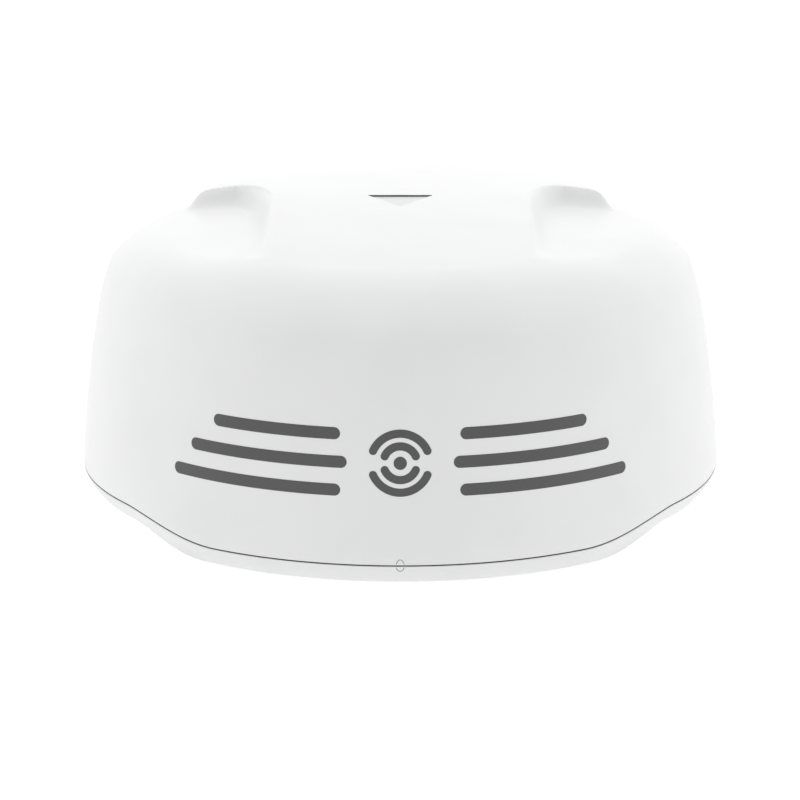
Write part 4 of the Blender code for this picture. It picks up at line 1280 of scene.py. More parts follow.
@dataclass
class Graphic(Assembly):
    """A plain graphic printed across the bow: range rings between bars, with no lettering."""

    form: OuterForm = field(default_factory=OuterForm)
    low: float = 0.0715
    high: float = 0.1235
    half_width: float = 0.190
    stroke: float = 0.0092
    rings: Pair = (0.0128, 0.0224)
    ring_stroke: float = 0.0062
    dot: float = 0.0050
    proud: float = 0.00012
    mark_proud: float = 0.00004

    def build(self) -> None:
        """Print the graphic and the two halves of the bow mark."""
        sheets = []
        middle = (self.low + self.high) / 2
        for radius in self.rings:
            for centre in (0, math.pi):
                arc = [(radius * math.sin(centre + a), middle + radius * math.cos(centre + a))
                       for a in np.radians(np.linspace(-66, 66, 40))]
                sheets.append(self.stroke_mesh(arc, self.ring_stroke, StrokeEnd.ROUND))
        sheets.append(self.disc_mesh((0.0, middle), self.dot))
        for side in (-1, 1):
            for z, near, far in ((self.high - self.stroke / 2, 0.050, 0.146), (middle, 0.045, 0.168),
                                 (self.low + self.stroke / 2, 0.050, self.half_width - self.stroke / 2)):
                count = int((far - near) / 0.003)
                bar = [(side * (near + (far - near) * i / count), z) for i in range(count + 1)]
                sheets.append(self.stroke_mesh(bar, self.stroke, StrokeEnd.ROUND))
        self.place("bow_graphic", joined("bow_graphic", sheets), Finishes.graphite_ink_and_painted_shade, "radome",
                   "dome_plastic")
        self.build_bow_mark()

    def build_bow_mark(self) -> None:
        """Engrave the lozenge that lines the dome up with the base, half on each."""
        seam, half, line = self.form.seam_z, 0.0028, 0.00055
        above = [(-half, seam + 0.0009), (-half, seam + 0.0020), (-0.0010, seam + 0.0045), (0.0010,
                                                                                            seam + 0.0045),
                 (half, seam + 0.0020), (half, seam + 0.0009)]
        below = [(-half, seam - 0.0017), (-half * 0.92, seam - 0.0030), (-half * 0.6, seam - 0.0043),
                 (-half * 0.2, seam - 0.0050), (half * 0.2, seam - 0.0050), (half * 0.6, seam - 0.0043),
                 (half * 0.92, seam - 0.0030), (half, seam - 0.0017)]
        upper = self.stroke_mesh(above, line, StrokeEnd.SQUARE, self.mark_point)
        lower = self.stroke_mesh(below, line, StrokeEnd.SQUARE, self.form.tray_point)
        self.place("bow_mark_upper", upper, Finishes.mark_line, "radome", "dome_plastic")
        self.place("bow_mark_lower", lower, Finishes.mark_line, "base", "base_plastic")

    def mark_point(self, across: float, z: float, _proud: float) -> Vector:
        """Point on the wall for the mark, only a hair proud where the wall is at its widest."""
        return self.form.wall_point(across, z, self.mark_proud)

    def stroke_mesh(self, path: Sequence[Pair], width: float, end: StrokeEnd,
                    surface: Callable[[float, float, float], Vector] | None = None) -> Mesh:
        """Thin closed stroke on a surface.

        Args:
            path: Points given as width across and height.
            width: Width of the stroke.
            end: How the stroke ends.
            surface: Turns width across, height and thickness into a point; the dome's wall by default.

        Returns:
            The stroke's closed mesh.
        """
        surface = surface or self.form.wall_point
        points = [Vector(p) for p in path]
        left, right = [], []
        for i, point in enumerate(points):
            along = (points[min(i + 1, len(points) - 1)] - points[max(i - 1, 0)]).normalized()
            across = Vector((-along.y, along.x)) * width / 2
            left.append(point + across)
            right.append(point - across)
        caps: list[list[Vector]] = [[], []]
        if end is StrokeEnd.ROUND:
            for cap, at, outward in ((0, 0, points[0] - points[1]), (1, -1, points[-1] - points[-2])):
                direction = outward.normalized()
                side = Vector((-direction.y, direction.x))
                for i in range(1, 12):
                    angle = math.pi * i / 12
                    turned = side * math.cos(angle) + direction * math.sin(angle)
                    caps[cap].append(points[at] + turned * width / 2)
        bm = bmesh.new()
        make = {}

        def vert(point: Vector) -> bmesh.types.BMVert:
            """Vertex at a flat point, wrapped on the surface."""
            key = (round(point.x, 7), round(point.y, 7))
            if key not in make:
                make[key] = bm.verts.new(surface(point.x, point.y, self.proud))
            return make[key]

        for i in range(len(points) - 1):
            bm.faces.new((vert(left[i]), vert(right[i]), vert(right[i + 1]), vert(left[i + 1])))
        for cap, at in ((0, 0), (1, -1)):
            if caps[cap]:
                ends = (left[at], right[at])
                first, last = sorted(ends, key=lambda p: (p - caps[cap][0]).length)
                bm.faces.new([vert(first)] + [vert(p) for p in caps[cap]] + [vert(last)])
        return self.thickened(bm)

    def disc_mesh(self, centre: Pair, radius: float) -> Mesh:
        """Thin closed disc on the wall.

        Args:
            centre: Its centre, as width across and height.
            radius: The disc's radius.

        Returns:
            The disc.
        """
        bm = bmesh.new()
        turns = [2 * math.pi * i / 32 for i in range(32)]
        rim = [bm.verts.new(self.form.wall_point(centre[0] + radius * math.cos(a),
                                                 centre[1] + radius * math.sin(a),
                                                 self.proud)) for a in turns]
        bm.faces.new(rim)
        return self.thickened(bm)

    def thickened(self, bm: BMesh) -> Mesh:
        """Give a sheet on the wall a hair of thickness into the wall.

        Args:
            bm: The sheet, which is freed.

        Returns:
            The closed print.
        """
        bmesh.ops.recalc_face_normals(bm, faces=bm.faces)
        face = bm.faces[:][0]
        outward = face.calc_center_median()
        if face.normal.dot(Vector((outward.x, outward.y, 0))) < 0:
            bmesh.ops.reverse_faces(bm, faces=bm.faces)
        sheet = bm.faces[:]
        back = bmesh.ops.duplicate(bm, geom=sheet)["geom"]
        rear = [item for item in back if isinstance(item, bmesh.types.BMFace)]
        for vert in {v for f in rear for v in f.verts}:
            inward = Vector((vert.co.x, vert.co.y, 0)).normalized()
            vert.co -= inward * 0.0005
        bmesh.ops.reverse_faces(bm, faces=rear)
        edges = [e for e in bm.edges if e.is_boundary]
        bmesh.ops.bridge_loops(bm, edges=edges)
        return smooth(mesh_from("print", bm))


# ---------------------------------------------------------------- base

@dataclass
class BaseTray(Assembly):
    """The base tray, its seal, captive screws, bushes, vent and sockets."""

    form: OuterForm = field(default_factory=OuterForm)
    count: int = 360
    pad: float = 0.002
    floor: float = 0.004
    underside_delay: float = math.radians(5)
    underside_z: float = 0.005
    mount: Pair = (0.1165, 0.07075)
    post: Pair = (0.145, 0.095)
    post_top: float = 0.0240
    bay_half: float = 0.046
    bay_y: Pair = (0.150, 0.206)
    bay_roof: float = 0.026
    channel_half: float = 0.018
    channel_roof: float = 0.009
    channel_end: float = 0.243
    socket_x: float = 0.024
    socket_y: float = 0.178
    vent: Pair = (0.060, -0.122)
    screw_head: Profile = (
        (0, 0.0034), (0.0042, 0.0034), (0.0048, 0.0040), (0.0048, 0.0077), (0.0025, 0.0077), (0.0025,
                                                                                              0.0190))
    screw_tip: Profile = ((0.0018, 0.0308), (0, 0.0310))
    bush_profile: Profile = (
        (0.0034, 0.0003), (0.0064, 0.0003), (0.0070, 0.0009), (0.0070, 0.0180), (0.0034, 0.0180))
    socket_profile: Profile = (
        (0, 0.0140), (0.0042, 0.0140), (0.0042, 0.0210), (0.0074, 0.0210), (0.0074, 0.0120),
        (0.0093, 0.0120), (0.0093, 0.0215), (0.0125, 0.0215), (0.0125, 0.0257), (0.0091, 0.0257),
        (0.0091, 0.0360), (0, 0.0360))
    vent_profile: Profile = (
        (0, 0.0005), (0.0068, 0.0005), (0.0080, 0.0011), (0.0080, 0.0017), (0.0037, 0.0017),
        (0.0037, 0.0085), (0, 0.0085))

    def build(self) -> None:
        """Make every piece of the base."""
        self.place("base_moulding", self.tray_mesh(), Finishes.base, "base", "base_plastic",
                   ["base_housing"])
        self.place("seam_seal", self.seal_mesh(), Finishes.seal, "base", "rubber", ["seam_gasket"])
        self.build_fasteners()
        self.build_vent()
        self.build_sockets()

    def rings(self, section: Sequence[tuple[float, float, float]]) -> list[np.ndarray]:
        """Rings of a section whose third number is each point's share of the side rise.

        Args:
            section: (radius, height, share) points.

        Returns:
            One ring of points for each.
        """
        azimuth = np.arange(self.count) * (2 * math.pi / self.count)
        made = []
        for radius, z, share in section:
            rise = self.form.side_rise(azimuth, self.underside_delay if z < self.underside_z else 0.0)
            made.append(np.stack([radius * np.sin(azimuth), -radius * np.cos(azimuth), z + share * rise],
                                 axis=1))
        return made

    def tray_mesh(self) -> Mesh:
        """Tray with its pads, towers, posts, ribs and bay, and every hole through it.

        Returns:
            The tray.
        """
        land = self.form.seam_z - GAP
        top = self.pad + self.floor
        outside = [(0.150, self.pad, 0), (0.184, self.pad, 0), (0.188, 0.0023, 0.05), (0.1935, self.pad,
                                                                                       0.28),
                   (0.1975, self.pad, 0.5), (0.2015, self.pad, 0.72), (0.206, self.pad, 0.95), (0.210,
                                                                                                self.pad,
                                                                                                1),
                   (0.2400, self.pad, 1), (0.2425, 0.0022, 1), (0.2448, 0.0036, 1), (0.2468, 0.0058, 1),
                   (0.2505, 0.0108, 1), (0.2528, 0.0146, 1), (0.2538, 0.0168, 1), (self.form.radius,
                                                                                   land - 0.0011, 1),
                   (self.form.radius - 0.0002, land - 0.0007, 1), (self.form.radius - 0.0007,
                                                                   land - 0.0005, 1),
                   (0.2502, land - 0.0005, 1), (0.2499, land, 1)]
        inside = [(0.2470, land, 1), (0.2467, land + 0.0003, 1), (0.2465, land + 0.0055, 1),
                  (0.2460, land + 0.0060, 1), (0.2440, land + 0.0060, 1), (0.2435, land + 0.0055, 1),
                  (0.2425, land, 1), (0.2405, 0.0120, 1), (0.2385, 0.0085, 1), (0.2368, 0.0066, 1),
                  (0.2345, top, 1),
                  (0.210, top, 1), (0.204, top, 0.82), (0.198, top, 0.45), (0.193, top, 0.14), (0.1885,
                                                                                                top, 0),
                  (0.150, top, 0)]
        tray = ring_mesh("base_moulding", self.rings(outside + inside), first=(0, 0, self.pad), last=(0, 0,
                                                                                                      top))
        tray = carved(tray, self.additions(), "UNION")
        tray = carved(tray, [self.box_tool()], "UNION")
        tray = carved(tray, self.hollows())
        return carved(tray, self.holes())

    def additions(self) -> list[Mesh]:
        """Pads, bush bosses, chassis posts, screw towers and floor ribs.

        Returns:
            The added solids, which stand apart.
        """
        middle = self.pad + self.floor / 2
        made = [lathe("pad", [(0, 0), (0.0175, 0), (0.0180, 0.0005), (0.0180, middle), (0.0120, middle),
                              (0.0115, 0.0068), (0.0115, 0.0214), (0.0109, 0.0220), (0, 0.0220)], 40,
                              0.0003,
                      (x, y, 0)) for x, y, _z in four_ways(*self.mount)]
        made += [drum(x, y, middle, self.post_top, 0.0070, 32, 0.0004) for x, y,
                 _z in four_ways(*self.post)]
        for _azimuth, x, y, rise in self.form.screw_places():
            made.append(drum(x, y, middle + rise, self.form.seam_z - GAP + rise, 0.0085, 32, 0.0004))
        for x in (-0.100, -0.050, 0.0, 0.050, 0.100):
            made.append(block((x - 0.0009, -0.048, middle), (x + 0.0009, 0.048, 0.0066), 0.0002, 1))
        return made

    def box_tool(self) -> Mesh:
        """Outside of the connector bay, with the cable channel's cover.

        Returns:
            The united boxes.
        """
        middle, wall = self.pad + self.floor / 2, self.floor
        bay = block((-self.bay_half - wall, self.bay_y[0] - wall, middle),
                    (self.bay_half + wall, self.bay_y[1] + wall, self.bay_roof + wall), 0.0016, 3)
        cover = block((-self.channel_half - wall, self.bay_y[1], middle),
                      (self.channel_half + wall, self.channel_end, self.channel_roof + wall), 0.0008, 2)
        return carved(bay, [cover], "UNION")

    def hollows(self) -> list[Mesh]:
        """The bay's and the channel's insides, as one tool.

        Returns:
            The one tool.
        """
        bay = block((-self.bay_half, self.bay_y[0], -0.01), (self.bay_half, self.bay_y[1], self.bay_roof),
                    0.0014, 3)
        channel = block((-self.channel_half, self.bay_y[1] - 0.004, -0.01),
                        (self.channel_half, self.form.radius + 0.01, self.channel_roof), 0.0010, 2)
        return [carved(bay, [channel], "UNION")]

    def holes(self) -> list[Mesh]:
        """Bores for bushes, posts, screws, sockets and the vent.

        Returns:
            The cutters, which stand apart.
        """
        made = [drum(x, y, -0.01, 0.0183, 0.0073, 40) for x, y, _z in four_ways(*self.mount)]
        made += [drum(x, y, 0.012, 0.03, 0.0018, 20) for x, y, _z in four_ways(*self.post)]
        for _azimuth, x, y, rise in self.form.screw_places():
            profile = [(0, -0.01), (0.0060, -0.01), (0.0060, 0.0080 + rise), (0.0029, 0.0080 + rise),
                       (0.0029, 0.035 + rise), (0, 0.035 + rise)]
            made.append(lathe("bore", profile, 28, 0, (x, y, 0)))
        made += [drum(side * self.socket_x, self.socket_y, 0.020, self.bay_roof + 0.010, 0.0095, 40)
                 for side in (-1, 1)]
        made.append(drum(*self.vent, -0.01, 0.02, 0.0041, 28))
        return made

    def seal_mesh(self) -> Mesh:
        """Seal with a thin lip that shows as the dark line of the seam.

        Returns:
            The seal.
        """
        land = self.form.seam_z - GAP
        lip = 0.00006
        section = [(0.2470, land + lip, 1), (0.2503, land + lip, 1), (0.2505, land - 0.0004, 1),
                   (0.2536, land - 0.0004, 1), (0.2536, land + GAP - lip, 1), (0.2499, land + GAP - lip, 1),
                   (0.2496, land + 0.0008, 1), (0.2496, land + 0.0030, 1), (0.2470, land + 0.0030, 1)]
        return ring_mesh("seam_seal", self.rings(section), looped=True)

    def build_fasteners(self) -> None:
        """Make the captive cover screws and the mounting bushes."""
        profile = list(self.screw_head)
        for turn in range(10):
            profile += [(0.0022, 0.0192 + turn * 0.0011), (0.0025, 0.0197 + turn * 0.0011)]
        profile += self.screw_tip
        screw = recessed(profile, Recess.HEX, 0.0024, 0.0034, -0.0022)
        places = [(x, y, rise) for _azimuth, x, y, rise in self.form.screw_places()]
        names = [f"cover_screw_{number}" for number in range(1, len(places) + 1)]
        self.place("cover_screws", at_places(screw, places), Finishes.stainless, "base", "steel", names)
        bore = list(self.bush_profile)
        for turn in range(13):
            bore += [(0.0037, 0.0174 - turn * 0.00125), (0.0034, 0.0168 - turn * 0.00125)]
        bush = lathe("bush", bore, 40, 0.00012)
        names = [f"mount_bush_{number}" for number in range(1, 5)]
        self.place("mount_bushes", at_places(bush, four_ways(*self.mount)), Finishes.brass, "base",
                   "brass", names)

    def build_vent(self) -> None:
        """Make the pressure vent: a domed cap with slots round its rim."""
        slot = block((-0.0004, -0.0025, -0.0002), (0.0004, 0.0010, 0.0009), 0.0001, 1)
        slots = self.circle.repeat(slot, Finishes.black_nylon, Count=16, Radius=0.0066, Phase=0.0)
        cap = carved(lathe("vent", self.vent_profile, 48, 0.0003), [slots])
        place = Matrix.Translation((*self.vent, 0.0))
        self.place("vent_cap", moved(cap, place), Finishes.black_nylon, "base", "black_plastic",
                   ["breather_vent"])

    def build_sockets(self) -> None:
        """Make both sockets: knurled collars, keyed shells and gilded pins."""
        groove = block((-0.0003, -0.0006, 0.0120), (0.0003, 0.0004, 0.0205), 0)
        grooves = self.circle.repeat(groove, Finishes.black_nylon, Count=24, Radius=0.0094, Phase=0.0)
        collar = carved(lathe("socket", self.socket_profile, 64, 0.0003), [grooves])
        nut = drum(0, 0, 0.0303, 0.0333, 0.0116, 6, 0.0004)
        ring = carved(nut, [drum(0, 0, 0.02, 0.04, 0.00905, 40)])
        pin = drum(0, 0, 0.0128, 0.0142, 0.00045, 12, 0.0002)
        for side, name, pins in ((-1, "power_socket", 2), (1, "network_socket", 8)):
            place = Matrix.Translation((side * self.socket_x, self.socket_y, 0.0))
            self.place(f"{name}_shell", moved(collar, place), Finishes.black_nylon, "base",
                       "black_plastic", [name])
            self.place(f"{name}_nut", moved(ring, place), Finishes.stainless, "base", "steel")
            contacts = self.circle.repeat(pin, Finishes.gold_pad, Count=pins, Radius=0.0024, Phase=0.4)
            self.place(f"{name}_pins", moved(contacts, place), Finishes.gold_pad, "base", "brass")


# ---------------------------------------------------------------- chassis and electronics

LEAD_ROUTES = {
    "power_cable": (0.0028, [
        (-0.024, 0.178, 0.0366), (-0.024, 0.178, 0.0440), (-0.027, 0.168, 0.0515), (-0.038, 0.146, 0.052),
        (-0.060, 0.108, 0.043), (-0.090, 0.080, 0.0395), (-0.096, 0.058, 0.0380)]),
    "network_cable": (0.0024, [
        (0.024, 0.178, 0.0366), (0.024, 0.178, 0.0440), (0.020, 0.168, 0.0505), (0.008, 0.146, 0.050),
        (-0.030, 0.096, 0.040), (-0.064, 0.074, 0.0390), (-0.072, 0.056, 0.0375)]),
    "motor_cable": (0.0020, [
        (0.1068, 0, 0.040), (0.1125, -0.001, 0.040), (0.119, -0.014, 0.036), (0.117, -0.045, 0.031),
        (0.085, -0.078, 0.031), (0.052, -0.090, 0.037), (0.0458, -0.090, 0.037)])}


@dataclass
class Chassis(Assembly):
    """Chassis plate with its screws, the boards and modules on it, and the wiring."""

    z: Pair = (0.0243, 0.0273)
    half: Pair = (0.160, 0.122)
    post: Pair = (0.145, 0.095)
    board_x: Pair = (-0.150, -0.060)
    board_y: Pair = (-0.080, 0.070)
    board_z: Pair = (0.0330, 0.0346)
    screw_profile: Profile = (
        (0, 0.0160), (0.0014, 0.0160), (0.0014, 0.0276), (0.0040, 0.0276), (0.0040, 0.0292),
        (0.0032, 0.0300), (0, 0.0300))

    def build(self) -> None:
        """Make the plate and everything fixed on it."""
        self.place("chassis_tray", self.plate_mesh(), Finishes.sheet_aluminium, "base", "aluminium",
                   ["chassis_plate"])
        screw = recessed(self.screw_profile, Recess.CROSS, 0.0019, 0.0300, 0.0011)
        names = [f"chassis_screw_{number}" for number in range(1, 5)]
        self.place("chassis_screws", at_places(screw, four_ways(*self.post)), Finishes.stainless, "base",
                   "steel",
                   names)
        self.build_board()
        self.build_power_module()
        self.build_cables()

    def plate_mesh(self) -> Mesh:
        """Plate with stand-offs, bores, tie slots and two embossed stiffening ribs.

        Returns:
            The plate.
        """
        plate = prism(rounded_rectangle(*self.half, 0.040), *self.z, "xy", 0.0004)
        stands = [drum(x, y, self.z[0] + 0.001, self.board_z[0] - GAP, 0.003, 24, 0.0003)
                  for x in (self.board_x[0] + 0.006, self.board_x[1] - 0.006)
                  for y in (self.board_y[0] + 0.006, self.board_y[1] - 0.006)]
        ribs = [block((-0.100, y - 0.002, self.z[1] - 0.001), (0.040, y + 0.002, self.z[1] + 0.0008),
                      0.0006)
                for y in (0.088, 0.100)]
        plate = carved(plate, stands + ribs, "UNION")
        slot = prism(rounded_rectangle(0.0042, 0.0013, 0.00125, 4), -0.004, 0.004, "xy", 0)
        row = self.grid.repeat(slot, Finishes.sheet_aluminium, Columns=10, Rows=2, Column_Pitch=0.0185,
                               Row_Pitch=0.226)
        cuts = [shifted(row, (0, 0, self.z[0] + 0.001))]
        cuts += [drum(0, 0, 0, 0.05, 0.012, 48)]
        cuts += [drum(x, y, 0, 0.05, 0.0021, 20) for x, y, _z in four_ways(*self.post)]
        return carved(plate, cuts)

    def build_board(self) -> None:
        """Make the main board with its chips, passives, connectors, shield and capacitors."""
        centre = ((self.board_x[0] + self.board_x[1]) / 2, (self.board_y[0] + self.board_y[1]) / 2)
        half = ((self.board_x[1] - self.board_x[0]) / 2, (self.board_y[1] - self.board_y[0]) / 2)
        board = prism(rounded_rectangle(*half, 0.003), *self.board_z, "xy", 0.0001)
        board = shifted(board, (*centre, 0))
        self.place("radar_board", board, Finishes.solder_mask, "base", "board", ["main_board"])
        deck = self.board_z[1]
        screw = recessed([(0, deck), (0.0028, deck), (0.0028, deck + 0.0012), (0.0020, deck + 0.0019),
                              (0, deck + 0.0019)], Recess.CROSS, 0.0013, deck + 0.0019, 0.0009)
        corners = [(x, y, 0) for x in (self.board_x[0] + 0.006, self.board_x[1] - 0.006)
                   for y in (self.board_y[0] + 0.006, self.board_y[1] - 0.006)]
        self.place("board_screws", at_places(screw, corners), Finishes.stainless, "base", "steel")
        chips, pins = [], []
        for x, y, width, length in ((-0.128, -0.045, 0.016, 0.016), (-0.104, -0.058, 0.010, 0.014),
                                    (-0.104, -0.030, 0.012, 0.009), (-0.132, -0.018, 0.009, 0.007)):
            chips.append(block((x - width / 2, y - length / 2, deck + 0.0002),
                               (x + width / 2, y + length / 2, deck + 0.0019), 0.0003))
            lead = block((-width / 2 - 0.0012, -0.0002, 0), (width / 2 + 0.0012, 0.0002, 0.0004), 0)
            rows = int(length / 0.001) - 1
            comb = self.grid.repeat(lead, Finishes.copper, Columns=1, Rows=rows, Column_Pitch=0.001,
                                    Row_Pitch=0.001)
            pins.append(shifted(comb, (x, y, deck)))
        passive = block((-0.0005, -0.0003, 0), (0.0005, 0.0003, 0.0005), 0.0001, 1)
        for x, y, columns, rows in ((-0.143, -0.052, 2, 9), (-0.090, -0.012, 5, 3), (-0.116, 0.059, 8, 2)):
            field_mesh = self.grid.repeat(passive, Finishes.chip, Columns=columns, Rows=rows,
                                          Column_Pitch=0.0025,
                                          Row_Pitch=0.0022)
            chips.append(shifted(field_mesh, (x, y, deck)))
        self.place("board_chips", joined("chips", chips), Finishes.chip, "base", "black_plastic")
        self.place("board_leads", joined("leads", pins), Finishes.copper, "base", "steel")
        plugs = []
        for x, y in ((-0.096, 0.0625), (-0.072, 0.0605)):
            shell = block((x - 0.0055, y - 0.0035, deck), (x + 0.0055, y + 0.0035, deck + 0.0062), 0.0004)
            plugs.append(carved(shell, [block((x - 0.0045, y - 0.0025, deck + 0.0050),
                                              (x + 0.0045, y + 0.0045, deck + 0.0075), 0)]))
        self.place("board_plugs", joined("plugs", plugs), Finishes.white_nylon, "base", "black_plastic")
        self.build_shield(deck + GAP)
        self.build_capacitors(deck + GAP)

    def build_shield(self, deck: float) -> None:
        """Make the shield can with its folded skirt and rows of cooling holes.

        Args:
            deck: Height of the board's upper face.
        """
        can = block((-0.140, -0.008, deck), (-0.078, 0.048, deck + 0.009), 0.0012, 3)
        hole = drum(0, 0, -0.0006, 0.0006, 0.0009, 12)
        holes = self.grid.repeat(hole, Finishes.sheet_steel, Columns=12, Rows=10, Column_Pitch=0.0042,
                                 Row_Pitch=0.0042)
        can = carved(can, [shifted(holes, (-0.109, 0.020, deck + 0.009))])
        notch = block((-0.0011, -0.0006, -0.0002), (0.0011, 0.0006, 0.0012), 0)
        notches = self.grid.repeat(notch, Finishes.sheet_steel, Columns=9, Rows=2, Column_Pitch=0.0064,
                                   Row_Pitch=0.0560)
        can = carved(can, [shifted(notches, (-0.109, 0.020, deck))])
        self.place("board_shield", can, Finishes.sheet_steel, "base", "aluminium", ["shield_can"])

    def build_capacitors(self, deck: float) -> None:
        """Make the reservoir capacitors with rolled necks and scored tops.

        Args:
            deck: Height of the board's upper face.
        """
        profile = [(0, deck), (0.0076, deck), (0.0078, deck + 0.0004), (0.0078, deck + 0.0022),
                   (0.0073, deck + 0.0029), (0.0078, deck + 0.0036), (0.0078, deck + 0.0198),
                   (0.0071, deck + 0.0205), (0.0062, deck + 0.0203), (0, deck + 0.0203)]
        can = recessed(profile, Recess.CROSS, 0.0045, deck + 0.0203, 0.0002)
        self.place("board_capacitors", at_places(can, [(-0.080, y, 0) for y in (-0.060, -0.038)]),
                   Finishes.motor_can, "base", "black_plastic", ["capacitor_1", "capacitor_2"])

    def build_power_module(self) -> None:
        """Make the motor's power module: a ribbed case with a terminal strip."""
        floor = self.z[1] + GAP
        case = block((-0.022, -0.112, floor), (0.045, -0.072, floor + 0.0200), 0.0018, 3)
        groove = block((-0.0009, -0.030, -0.0016), (0.0009, 0.030, 0.002), 0)
        grooves = self.grid.repeat(groove, Finishes.black_nylon, Columns=14, Rows=1, Column_Pitch=0.0038,
                                   Row_Pitch=0.001)
        case = carved(case, [shifted(grooves, (0.0115, -0.092, floor + 0.0200))])
        self.place("motor_driver", case, Finishes.black_nylon, "base", "black_plastic", ["power_module"])
        screw = recessed([(0, 0), (0.0018, 0), (0.0018, 0.0010), (0.0012, 0.0014), (0, 0.0014)],
                         Recess.CROSS,
                             0.0010, 0.0014, 0.0006)
        strip = block((-0.016, -0.0722, floor + 0.002), (0.030, -0.0665, floor + 0.0115), 0.0006)
        self.place("driver_terminals", strip, Finishes.white_nylon, "base", "black_plastic")
        places = [(-0.012 + step * 0.0076, -0.0694, floor + 0.0113) for step in range(6)]
        self.place("terminal_screws", at_places(screw, places), Finishes.stainless, "base", "steel")

    def build_cables(self) -> None:
        """Make the three leads, each with a moulded boot at its first end."""
        for name, (radius, route) in LEAD_ROUTES.items():
            lead = sweep(route, radius)
            boot = sweep([Vector(route[0]).lerp(Vector(route[1]), share) for share in (0.02, 0.5, 0.95)],
                         radius * 1.35, steps=4)
            self.place(name.replace("cable", "lead"), lead, Finishes.jacket, "base", "cable_jacket", [name])
            self.place(name.replace("cable", "boot"), boot, Finishes.black_nylon, "base", "black_plastic")


# ---------------------------------------------------------------- drive

